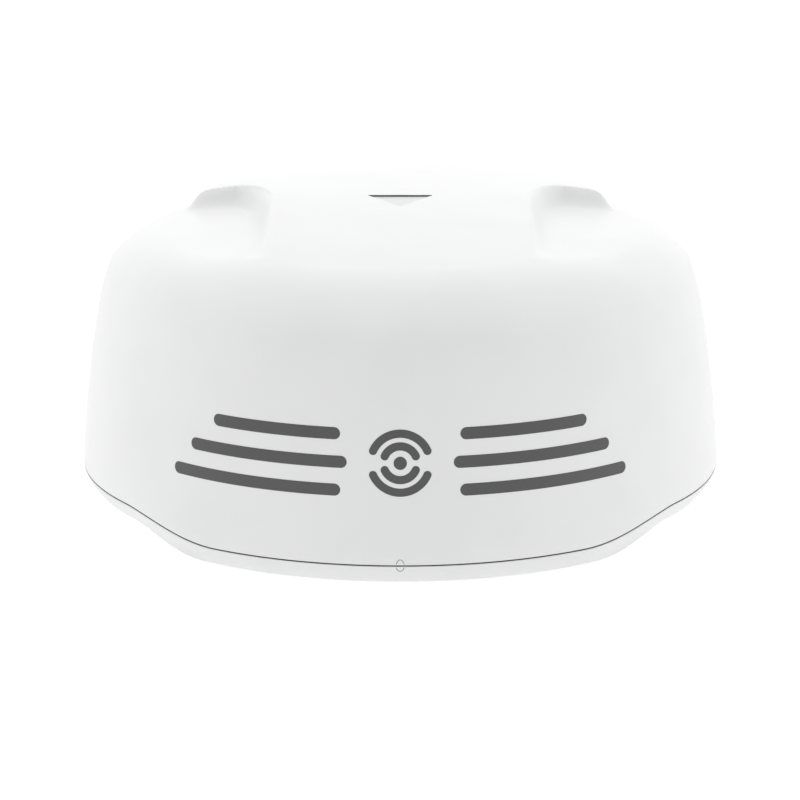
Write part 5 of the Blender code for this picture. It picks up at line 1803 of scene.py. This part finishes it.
@dataclass
class BeltDrive(Assembly):
    """Bearing housing, motor and toothed belt drive."""

    pulley_z: Pair = (0.0690, 0.0802)
    driven_radius: float = 0.0454
    motor_radius: float = 0.0092
    motor_x: float = 0.085
    flange: float = 0.0008
    teeth: tuple[int, int] = (96, 20)
    clearance: float = 0.0004
    belt: float = 0.0015
    housing_profile: Profile = (
        (0.0165, 0.0276), (0.0550, 0.0276), (0.0550, 0.0318), (0.0542, 0.0326), (0.0360, 0.0326),
        (0.0310, 0.0380), (0.0310, 0.0667), (0.0302, 0.0675), (0.0238, 0.0675), (0.0238, 0.0577),
        (0.0212, 0.0577), (0.0212, 0.0453), (0.0238, 0.0453), (0.0238, 0.0360), (0.0165, 0.0360))
    stator_profile: Profile = (
        (0, 0.0190), (0.0160, 0.0190), (0.0160, 0.0240), (0.0078, 0.0240), (0.0078, 0.0700),
        (0, 0.0700))
    motor_profile: Profile = (
        (0, 0.0280), (0.0200, 0.0280), (0.0210, 0.0290), (0.0210, 0.0335), (0.0206, 0.0339),
        (0.0206, 0.0556), (0.0210, 0.0560), (0.0210, 0.0607), (0.0200, 0.0617), (0.0110, 0.0617),
        (0.0110, 0.0655), (0.0030, 0.0655), (0.0030, 0.0480), (0, 0.0480))
    shaft_profile: Profile = (
        (0, 0.0490), (0.0026, 0.0490), (0.0026, 0.0809), (0.0023, 0.0812), (0, 0.0812))
    spindle_profile: Profile = (
        (0.0090, 0.0340), (0.0147, 0.0340), (0.0147, 0.0805), (0.0320, 0.0805), (0.0320, 0.0860),
        (0.0090, 0.0860))
    magnet_profile: Profile = (
        (0, 0.0655), (0.0030, 0.0655), (0.0030, 0.0687), (0, 0.0687))
    cap_profile: Profile = (
        (0, 0.0715), (0.0082, 0.0715), (0.0082, 0.0896), (0.0160, 0.0896), (0.0160, 0.0926),
        (0.0100, 0.0926), (0.0100, 0.0950), (0.0094, 0.0955), (0.0094, 0.0965), (0.0100, 0.0970),
        (0.0100, 0.1030), (0.0090, 0.1040), (0, 0.1040))

    def build(self) -> None:
        """Make the fixed, the turning and the motor's pieces."""
        self.build_housing()
        self.build_motor()
        self.build_belt()
        self.build_pulleys()
        self.build_spindle()

    def build_housing(self) -> None:
        """Make the bearing housing with gussets, its bolts and both ball bearings."""
        housing = lathe("housing", self.housing_profile, 96, 0.0005)
        gusset = prism([(-0.0500, 0.0316), (-0.0500, 0.0330), (-0.0322, 0.0600), (-0.0300, 0.0600),
                        (-0.0300, 0.0316)], -0.0018, 0.0018, "yz", 0.0004)
        gussets = self.circle.repeat(gusset, Finishes.cast_aluminium, Count=6, Radius=0.0,
                                     Phase=math.pi / 6)
        self.place("bearing_tower", carved(housing, [gussets], "UNION"), Finishes.cast_aluminium, "base",
                   "aluminium", ["bearing_housing"])
        bolt = recessed([(0, 0.0322), (0.0032, 0.0322), (0.0032, 0.0352), (0.0027, 0.0357), (0, 0.0357)],
                            Recess.HEX, 0.0015, 0.0357, 0.0018)
        bolts = self.circle.repeat(bolt, Finishes.stainless, Count=6, Radius=0.0505, Phase=0.0)
        self.place("tower_bolts", bolts, Finishes.stainless, "base", "steel")
        races = []
        for z, node in ((0.0363, "lower_bearing"), (0.0580, "upper_bearing")):
            outer = lathe("outer", [(0.0206, z), (0.0235, z), (0.0235, z + 0.0087), (0.0206, z + 0.0087),
                                    (0.0200, z + 0.0068), (0.0200, z + 0.0019)], 64, 0.0003)
            inner = lathe("inner", [(0.0150, z), (0.0178, z), (0.0184, z + 0.0019), (0.0184, z + 0.0068),
                                    (0.0178, z + 0.0087), (0.0150, z + 0.0087)], 64, 0.0003)
            ball = lathe("ball", [(0, -0.0021), (0.0012, -0.0017), (0.0019, -0.0009), (0.0021, 0), (0.0019,
                                                                                                    0.0009),
                                  (0.0012, 0.0017), (0, 0.0021)], 16, 0)
            balls = self.circle.repeat(ball, Finishes.stainless, Count=13, Radius=0.0192, Phase=0.1)
            races.append((node, joined("race", [outer, inner, shifted(balls, (0, 0, z + 0.0044))])))
        for node, mesh in races:
            self.place(f"{node}_races", mesh, Finishes.stainless, "base", "steel", [node])
        self.place("slip_ring_barrel", lathe("barrel", self.stator_profile, 48, 0.0004),
                   Finishes.black_nylon, "base",
                   "black_plastic", ["slip_ring_stator"])
        sensor = block((-0.0462, -0.005, 0.0329), (-0.0362, 0.005, 0.0638), 0.0008, 3)
        window = block((-0.0445, -0.0030, 0.0630), (-0.0379, 0.0030, 0.0650), 0.0002)
        self.place("heading_sensor", carved(sensor, [window]), Finishes.black_nylon, "base",
                   "black_plastic",
                   ["index_sensor"])

    def build_motor(self) -> None:
        """Make the motor, its folded bracket with slots, and the bracket's screws."""
        self.place("antenna_motor", lathe("motor", self.motor_profile, 72, 0.0003, (self.motor_x, 0, 0)),
                   Finishes.motor_can,
                   "base", "motor_paint", ["motor_body"])
        floor, sheet, leg, foot, top = 0.0276, 0.003, 0.0235, 0.0385, 0.0650
        half = [(foot, floor), (foot, floor + sheet), (leg + sheet, floor + sheet), (leg + sheet, top)]
        inner = [(leg, top - sheet), (leg, floor)]
        outline = half + [(-y, z) for y, z in reversed(half)]
        outline += [(-y, z) for y, z in reversed(inner)] + inner
        bracket = prism(outline, self.motor_x - 0.024, self.motor_x + 0.024, "yz", 0.0005)
        window = prism(rounded_rectangle(0.0130, 0.0090, 0.004), -0.05, 0.05, "xz", 0)
        cuts = [drum(self.motor_x, 0, top - 0.01, top + 0.01, 0.0115, 48),
                shifted(window, (self.motor_x, 0, 0.0465))]
        self.place("motor_cradle", carved(bracket, cuts), Finishes.sheet_steel, "base", "steel",
                   ["motor_bracket"])
        bolt = recessed([(0, 0), (0.0024, 0), (0.0024, 0.0018), (0.0018, 0.0024), (0, 0.0024)],
                        Recess.CROSS,
                            0.0013, 0.0024, 0.0010)
        places = [(self.motor_x + sx * 0.017, sy * 0.0325, floor + sheet) for sx in (-1, 1) for sy in (-1,
                                                                                                       1)]
        self.place("cradle_screws", at_places(bolt, places), Finishes.stainless, "base", "steel")

    def path(self, offset: float, steps: tuple[int, int]) -> list[Pair]:
        """Path round both pulleys at an offset from their rims.

        Args:
            offset: Distance out from the rims.
            steps: Steps round each pulley.

        Returns:
            Points of the path, in order.
        """
        driven, driver = self.driven_radius + offset, self.motor_radius + offset
        touch = math.acos((driven - driver) / self.motor_x)
        points = []
        for i in range(steps[0] + 1):
            angle = touch + (2 * math.pi - 2 * touch) * i / steps[0]
            points.append((driven * math.cos(angle), driven * math.sin(angle)))
        for i in range(steps[1] + 1):
            angle = -touch + 2 * touch * i / steps[1]
            points.append((self.motor_x + driver * math.cos(angle), driver * math.sin(angle)))
        return points

    def build_belt(self) -> None:
        """Make the timing belt, its back grooved lengthwise."""
        low = self.pulley_z[0] + self.flange + self.clearance
        high = self.pulley_z[1] - self.flange - self.clearance
        outer, inner = self.clearance + self.belt, self.clearance
        middle = (low + high) / 2
        section = [(outer, low + 0.0003), (outer, middle - 0.0016), (outer - 0.0003, middle - 0.0014),
                   (outer - 0.0003, middle + 0.0014), (outer, middle + 0.0016), (outer, high - 0.0003),
                   (outer - 0.0003, high), (inner, high), (inner, low), (outer - 0.0003, low)]
        rings = []
        for offset, z in section:
            rings.append(np.array([(x, y, z) for x, y in self.path(offset, (120, 40))]))
        self.place("drive_belt", ring_mesh("belt", rings, looped=True), Finishes.seal, "base", "rubber",
                   ["timing_belt"])

    def toothed(self, name: str, rim: float, flange: float, bore: float, teeth: int,
                web: tuple[float, float] | None) -> Mesh:
        """Pulley with trapezium teeth between two flanges.

        Args:
            name: The mesh's name.
            rim: Radius over the teeth.
            flange: Radius of the flanges.
            bore: Radius of the bore.
            teeth: Number of teeth.
            web: Inner and outer radius of the groove in the upper face, if it has one.

        Returns:
            The pulley about its own axis.
        """
        low, high = self.pulley_z
        sides = teeth * 4
        turn = np.arange(sides) * 2 * math.pi / sides
        depth = np.array([0.0, 0.0, 0.0007, 0.0007] * teeth)

        def ring(radius: np.ndarray | float, z: float) -> np.ndarray:
            """Ring of points about the axis."""
            return np.stack([radius * np.sin(turn), -radius * np.cos(turn), z + 0 * turn], axis=1)

        rings = [ring(bore, low), ring(flange - 0.0002, low), ring(flange, low + 0.0002),
                 ring(flange, low + self.flange), ring(rim - depth, low + self.flange),
                 ring(rim - depth, high - self.flange), ring(flange, high - self.flange),
                 ring(flange, high - 0.0002), ring(flange - 0.0002, high)]
        if web:
            rings += [ring(web[1], high), ring(web[1], low + 0.004), ring(web[0], low + 0.004),
                      ring(web[0], high)]
        rings.append(ring(bore, high))
        return ring_mesh(name, rings, looped=True)

    def build_pulleys(self) -> None:
        """Make both toothed pulleys and the motor's shaft."""
        driven = self.toothed("driven", self.driven_radius, 0.0490, 0.0150, self.teeth[0], (0.0330, 0.0405))
        spoke = drum(0, 0, 0.05, 0.10, 0.0062, 32)
        holes = self.circle.repeat(spoke, Finishes.black_nylon, Count=6, Radius=0.0242, Phase=math.pi / 6)
        self.place("spindle_pulley", carved(driven, [holes]), Finishes.black_nylon, "rotor",
                   "black_plastic",
                   ["driven_pulley"])
        driver = self.toothed("driver", self.motor_radius, 0.0118, 0.0029, self.teeth[1], None)
        place = Matrix.Translation((self.motor_x, 0, 0))
        self.place("motor_sprocket", moved(driver, place), Finishes.turned_aluminium, "motor_rotor",
                   "aluminium",
                   ["motor_pulley"])
        flat = block((0.0019, -0.004, 0.0640), (0.005, 0.004, 0.0830), 0)
        shaft_mesh = carved(lathe("shaft", self.shaft_profile, 32, 0.0001), [flat])
        self.place("motor_spindle", moved(shaft_mesh, place), Finishes.stainless, "motor_rotor", "steel",
                   ["motor_shaft"])

    def build_spindle(self) -> None:
        """Make the hollow spindle, the index magnet and the slip ring's turning cap."""
        bores = [drum(x, y, 0.0785, 0.0880, 0.0018, 20) for x, y, _z in four_ways(0.0165, 0.0165)]
        self.place("spindle", carved(lathe("spindle", self.spindle_profile, 72, 0.0005), bores),
                   Finishes.stainless, "rotor",
                   "steel", ["spindle_shaft"])
        self.place("heading_magnet", lathe("magnet", self.magnet_profile, 32, 0.0003, (-0.0412, 0, 0)),
                   Finishes.stainless,
                   "rotor", "steel", ["index_magnet"])
        self.place("slip_ring_cap", lathe("cap", self.cap_profile, 48, 0.0003), Finishes.black_nylon,
                   "rotor", "black_plastic",
                   ["slip_ring_rotor"])


# ---------------------------------------------------------------- turning antenna

@dataclass
class Antenna(Assembly):
    """The turning antenna: bracket, array, transceiver and heat sink."""

    bracket_z: Pair = (0.0863, 0.0893)
    half: float = 0.205
    z: Pair = (0.096, 0.186)
    back: float = -0.0353
    depth: float = 0.012
    upright: Pair = (-0.035, -0.032)
    upright_top: float = 0.174
    screw_profile: Profile = (
        (0, 0.0815), (0.0015, 0.0815), (0.0015, 0.0896), (0.0032, 0.0896), (0.0032, 0.0914),
        (0.0026, 0.0920), (0, 0.0920))

    def build(self) -> None:
        """Make every piece of the antenna."""
        self.build_bracket()
        self.build_array()
        self.build_transceiver()

    def build_bracket(self) -> None:
        """Make the folded bracket with its two windows, and its screws."""
        low, high = self.bracket_z
        bend = [(self.upright[1] + 0.002 * (1 - math.sin(a)), high + 0.002 * (1 - math.cos(a)))
                for a in np.radians((0, 30, 60, 90))]
        outline = [(self.upright[0], low), (0.045, low), (0.045, high), *bend,
                   (self.upright[1], self.upright_top), (self.upright[0], self.upright_top)]
        bracket = prism(outline, -0.070, 0.070, "yz", 0.0005)
        window = prism(rounded_rectangle(0.014, 0.0055, 0.004), -0.05, -0.02, "xz", 0)
        cuts = [shifted(window, (side * 0.040, 0, 0.1000)) for side in (-1, 1)]
        cuts += [drum(x, y, low - 0.002, high + 0.002, 0.0018, 20) for x, y, _z in four_ways(0.0165,
                                                                                             0.0165)]
        cuts.append(drum(0, 0, low - 0.002, high + 0.002, 0.0098, 48))
        self.place("antenna_bracket", carved(bracket, cuts), Finishes.sheet_aluminium, "rotor", "aluminium",
                   ["turntable_bracket"])
        screw = recessed(self.screw_profile, Recess.CROSS, 0.0015, 0.0920, 0.0010)
        names = [f"bracket_screw_{number}" for number in range(1, 5)]
        self.place("spindle_screws", at_places(screw, four_ways(0.0165, 0.0165)), Finishes.stainless,
                   "rotor",
                   "steel", names)

    def build_array(self) -> None:
        """Make the ribbed back tray and the printed board with its rows of patches."""
        front = self.back - self.depth
        tray = block((-self.half, front, self.z[0]), (self.half, self.back, self.z[1]), 0.0025, 3)
        rim, recess = 0.0045, 0.004
        cuts = [block((-self.half + rim, front - 0.01, self.z[0] + rim),
                      (self.half - rim, front + recess, self.z[1] - rim), 0)]
        for side in (-1, 1):
            for near, far in ((0.078, 0.1165), (0.1195, 0.158), (0.161, 0.199)):
                x_low, x_high = sorted((side * near, side * far))
                cuts.append(block((x_low, self.back - 0.006, self.z[0] + 0.006),
                                  (x_high, self.back + 0.01, self.z[1] - 0.006), 0.0012))
        self.place("array_tray", carved(tray, cuts), Finishes.cast_aluminium, "rotor", "aluminium",
                   ["antenna_backplate"])
        inset = rim + GAP
        face = front + recess - GAP - 0.0020
        board = block((-self.half + inset, face, self.z[0] + inset),
                      (self.half - inset, face + 0.0020, self.z[1] - inset), 0.0002)
        self.place("array_board", board, Finishes.laminate, "rotor", "array_board", ["antenna_panel"])
        patch = block((-0.0044, -0.0036, -0.00006), (0.0044, 0.0036, 0.00006), 0)
        feed = block((-0.00035, -0.0060, -0.00005), (0.00035, 0.0060, 0.00005), 0)
        turn = Matrix.Translation((0, face, sum(self.z) / 2)) @ Matrix.Rotation(math.pi / 2, 4, "X")
        patches = self.grid.repeat(patch, Finishes.copper, Columns=26, Rows=5, Column_Pitch=0.0150,
                                   Row_Pitch=0.0150)
        feeds = self.grid.repeat(feed, Finishes.copper, Columns=26, Rows=4, Column_Pitch=0.0150,
                                 Row_Pitch=0.0150)
        line = block((-0.1880, -0.0383, -0.00005), (0.1880, -0.0376, 0.00005), 0)
        copper = joined("copper", [moved(patches, turn), moved(feeds, turn), moved(line, turn)])
        self.place("array_patches", copper, Finishes.copper, "rotor", "brass")

    def build_transceiver(self) -> None:
        """Make the transceiver's case with its lid screws, the heat sink and the coax."""
        low = (-0.060, self.upright[1] + GAP, 0.110)
        high = (0.060, 0.020, 0.170)
        case = block(low, high, 0.002, 3)
        inside = block((low[0] + 0.004, low[1] - 0.01, low[2] + 0.004), (high[0] - 0.004, high[1] - 0.004,
                       high[2] - 0.004), 0.001)
        seam = [block((low[0] - 0.01, 0.0080, low[2] - 0.01), (low[0] + 0.0006, 0.0088, high[2] + 0.01), 0),
                block((high[0] - 0.0006, 0.0080, low[2] - 0.01), (high[0] + 0.01, 0.0088, high[2] + 0.01),
                      0)]
        case = carved(carved(case, [inside]), seam)
        self.place("transceiver", case, Finishes.cast_aluminium, "rotor", "aluminium", ["rf_module"])
        bolt = recessed([(0, 0), (0.0020, 0), (0.0020, 0.0012), (0.0014, 0.0017), (0, 0.0017)],
                        Recess.CROSS,
                            0.0011, 0.0017, 0.0008)
        stand = Matrix.Translation((0, 0, high[2]))
        bolts = [moved(bolt, stand @ Matrix.Translation((x, y, 0))) for x in (-0.054, 0.0, 0.054)
                 for y in (-0.026, 0.014)]
        self.place("transceiver_screws", joined("bolts", bolts), Finishes.stainless, "rotor", "steel")
        self.build_heatsink(high[1] + GAP)
        route = [(0.0603, -0.008, 0.140), (0.068, -0.008, 0.140), (0.094, -0.012, 0.141), (0.100, -0.030,
                                                                                           0.143),
                 (0.100, self.back - 0.0057, 0.143)]
        self.place("coax_lead", sweep(route, 0.0018, 5), Finishes.jacket, "rotor", "cable_jacket",
                   ["coax_jumper"])
        nut = carved(drum(0, 0, 0, 0.0060, 0.0042, 6, 0.0004), [drum(0, 0, -0.01, 0.02, 0.0019, 24)])
        side = Matrix.Translation((0.0602, -0.008, 0.140)) @ Matrix.Rotation(math.pi / 2, 4, "Y")
        rear = Matrix.Translation((0.100, self.back - 0.0057, 0.143)) @ Matrix.Rotation(-math.pi / 2, 4,
                                                                                        "X")
        self.place("coax_nuts", joined("nuts", [moved(nut, side), moved(nut, rear)]), Finishes.brass,
                   "rotor",
                   "brass")

    def build_heatsink(self, back: float) -> None:
        """Make the heat sink: a web with ten tapering fins, notched across.

        Args:
            back: The sink's foot along Y.
        """
        fins, pitch, thickness, web, height = 10, 0.011, 0.003, 0.004, 0.022
        start = -(fins - 1) * pitch / 2
        outline = [(start - thickness / 2, back)]
        for number in range(fins):
            x = start + number * pitch
            if number:
                outline.append((x - thickness / 2, back + web))
            outline += [(x - thickness * 0.32, back + height), (x + thickness * 0.32, back + height)]
            if number < fins - 1:
                outline.append((x + thickness / 2, back + web))
        outline.append((-start + thickness / 2, back))
        sink = prism(outline, 0.113, 0.167, "xy", 0.0003)
        notch = block((-0.06, back + 0.012, 0.1385), (0.06, back + height + 0.004, 0.1415), 0)
        self.place("transceiver_fins", carved(sink, [notch]), Finishes.cast_aluminium, "rotor", "aluminium",
                   ["rf_heatsink"])


# ---------------------------------------------------------------- studio

@dataclass
class Studio:
    """Pale floor, soft even light and the camera."""

    elevation: float = 15.5
    distance: float = 3.813
    aim_z: float = 0.0707
    lens: float = 213.75
    shift: Pair = (-0.0003, 0.01125)
    sky: float = 1.14
    dimming: float = 0.93
    dim_ahead: Pair = (-0.95, 0.08)
    dim_low: Pair = (0.30, 0.85)
    lamp_place: Point = (0.0, 0.6, 2.6)
    lamp_energy: float = 1.0
    lamp_size: float = 2.4
    floor_colour: Colour = (0.34, 0.34, 0.34)
    floor_glow: float = 0.74
    floor_half: float = 14.0

    def build(self) -> None:
        """Set up the floor, the world and the camera."""
        self.floor()
        self.world()
        self.lights()
        self.camera()
        bpy.context.scene.view_settings.view_transform = "Standard"

    def floor(self) -> None:
        """Lay a wide pale floor under the mounting face."""
        bm = bmesh.new()
        bmesh.ops.create_grid(bm, x_segments=1, y_segments=1, size=self.floor_half)
        mesh = mesh_from("studio_floor", bm, recalculate=False)
        graph = Graph("studio_floor")
        graph.feed(graph.shader.inputs["Base Color"], (*self.floor_colour, 1.0))
        graph.feed(graph.shader.inputs["Emission Color"], (1.0, 1.0, 1.0, 1.0))
        graph.feed(graph.shader.inputs["Emission Strength"], self.floor_glow)
        graph.feed(graph.shader.inputs["Roughness"], 0.9)
        graph.feed(graph.shader.inputs["Specular IOR Level"], 0.0)
        mesh.materials.append(graph.material)
        slab = bpy.data.objects.new("studio_floor", mesh)
        slab.location = (0, 0, -0.0002)
        bpy.context.scene.collection.objects.link(slab)

    def world(self) -> None:
        """White surroundings, dimmer low down ahead of the bow than overhead and abeam."""
        world = bpy.data.worlds.new("studio")
        world.use_nodes = True
        tree = world.node_tree
        sky = tree.nodes["Background"]
        where = tree.nodes.new("ShaderNodeTexCoord")
        split = tree.nodes.new("ShaderNodeSeparateXYZ")
        tree.links.new(where.outputs["Generated"], split.inputs[0])
        shares = []
        for axis, (near, far) in (("Y", self.dim_ahead), ("Z", self.dim_low)):
            share = tree.nodes.new("ShaderNodeMapRange")
            share.interpolation_type = "SMOOTHSTEP"
            tree.links.new(split.outputs[axis], share.inputs["Value"])
            for key, value in ((1, near), (2, far), (3, 1.0), (4, 0.0)):
                share.inputs[key].default_value = value
            shares.append(share)
        dim = tree.nodes.new("ShaderNodeMath")
        dim.operation = "MULTIPLY"
        for number, share in enumerate(shares):
            tree.links.new(share.outputs[0], dim.inputs[number])
        level = tree.nodes.new("ShaderNodeMath")
        level.operation = "MULTIPLY_ADD"
        tree.links.new(dim.outputs[0], level.inputs[0])
        level.inputs[1].default_value = -self.dimming
        level.inputs[2].default_value = self.sky
        tree.links.new(level.outputs[0], sky.inputs["Strength"])
        sky.inputs["Color"].default_value = (1.0, 1.0, 1.0, 1.0)
        bpy.context.scene.world = world

    def lights(self) -> None:
        """Hang one broad soft light overhead."""
        data = bpy.data.lights.new("overhead", "AREA")
        data.energy, data.size = self.lamp_energy, self.lamp_size
        lamp = bpy.data.objects.new("overhead", data)
        lamp.location = self.lamp_place
        lamp.rotation_euler = (-Vector(self.lamp_place)).to_track_quat("-Z", "Y").to_euler()
        bpy.context.scene.collection.objects.link(lamp)

    def camera(self) -> None:
        """Stand the camera off the bow, a little above the horizon, with a long lens."""
        data = bpy.data.cameras.new("camera")
        data.lens = self.lens
        data.sensor_width = 36.0
        data.shift_x, data.shift_y = self.shift
        data.clip_end = 60.0
        lens = bpy.data.objects.new("camera", data)
        tilt = math.radians(self.elevation)
        back = Vector((0.0, -math.cos(tilt), math.sin(tilt)))
        lens.location = back * self.distance + Vector((0.0, 0.0, self.aim_z))
        lens.rotation_euler = (-back).to_track_quat("-Z", "Y").to_euler()
        bpy.context.scene.collection.objects.link(lens)
        bpy.context.scene.camera = lens


def main() -> None:
    """Build the looks of the whole radar."""
    logging.basicConfig(level=logging.INFO, format="%(message)s")
    Assembly.circle, Assembly.grid = circle_repeater(), grid_repeater()
    form = OuterForm()
    for part in (Dome(form), Graphic(form), BaseTray(form), Chassis(), BeltDrive(), Antenna()):
        LOG.info("Building the %s", type(part).__name__)
        part.build()
    Studio().build()
    LOG.info("%d pieces", Assembly.placed)


if __name__ == "__main__":
    main()
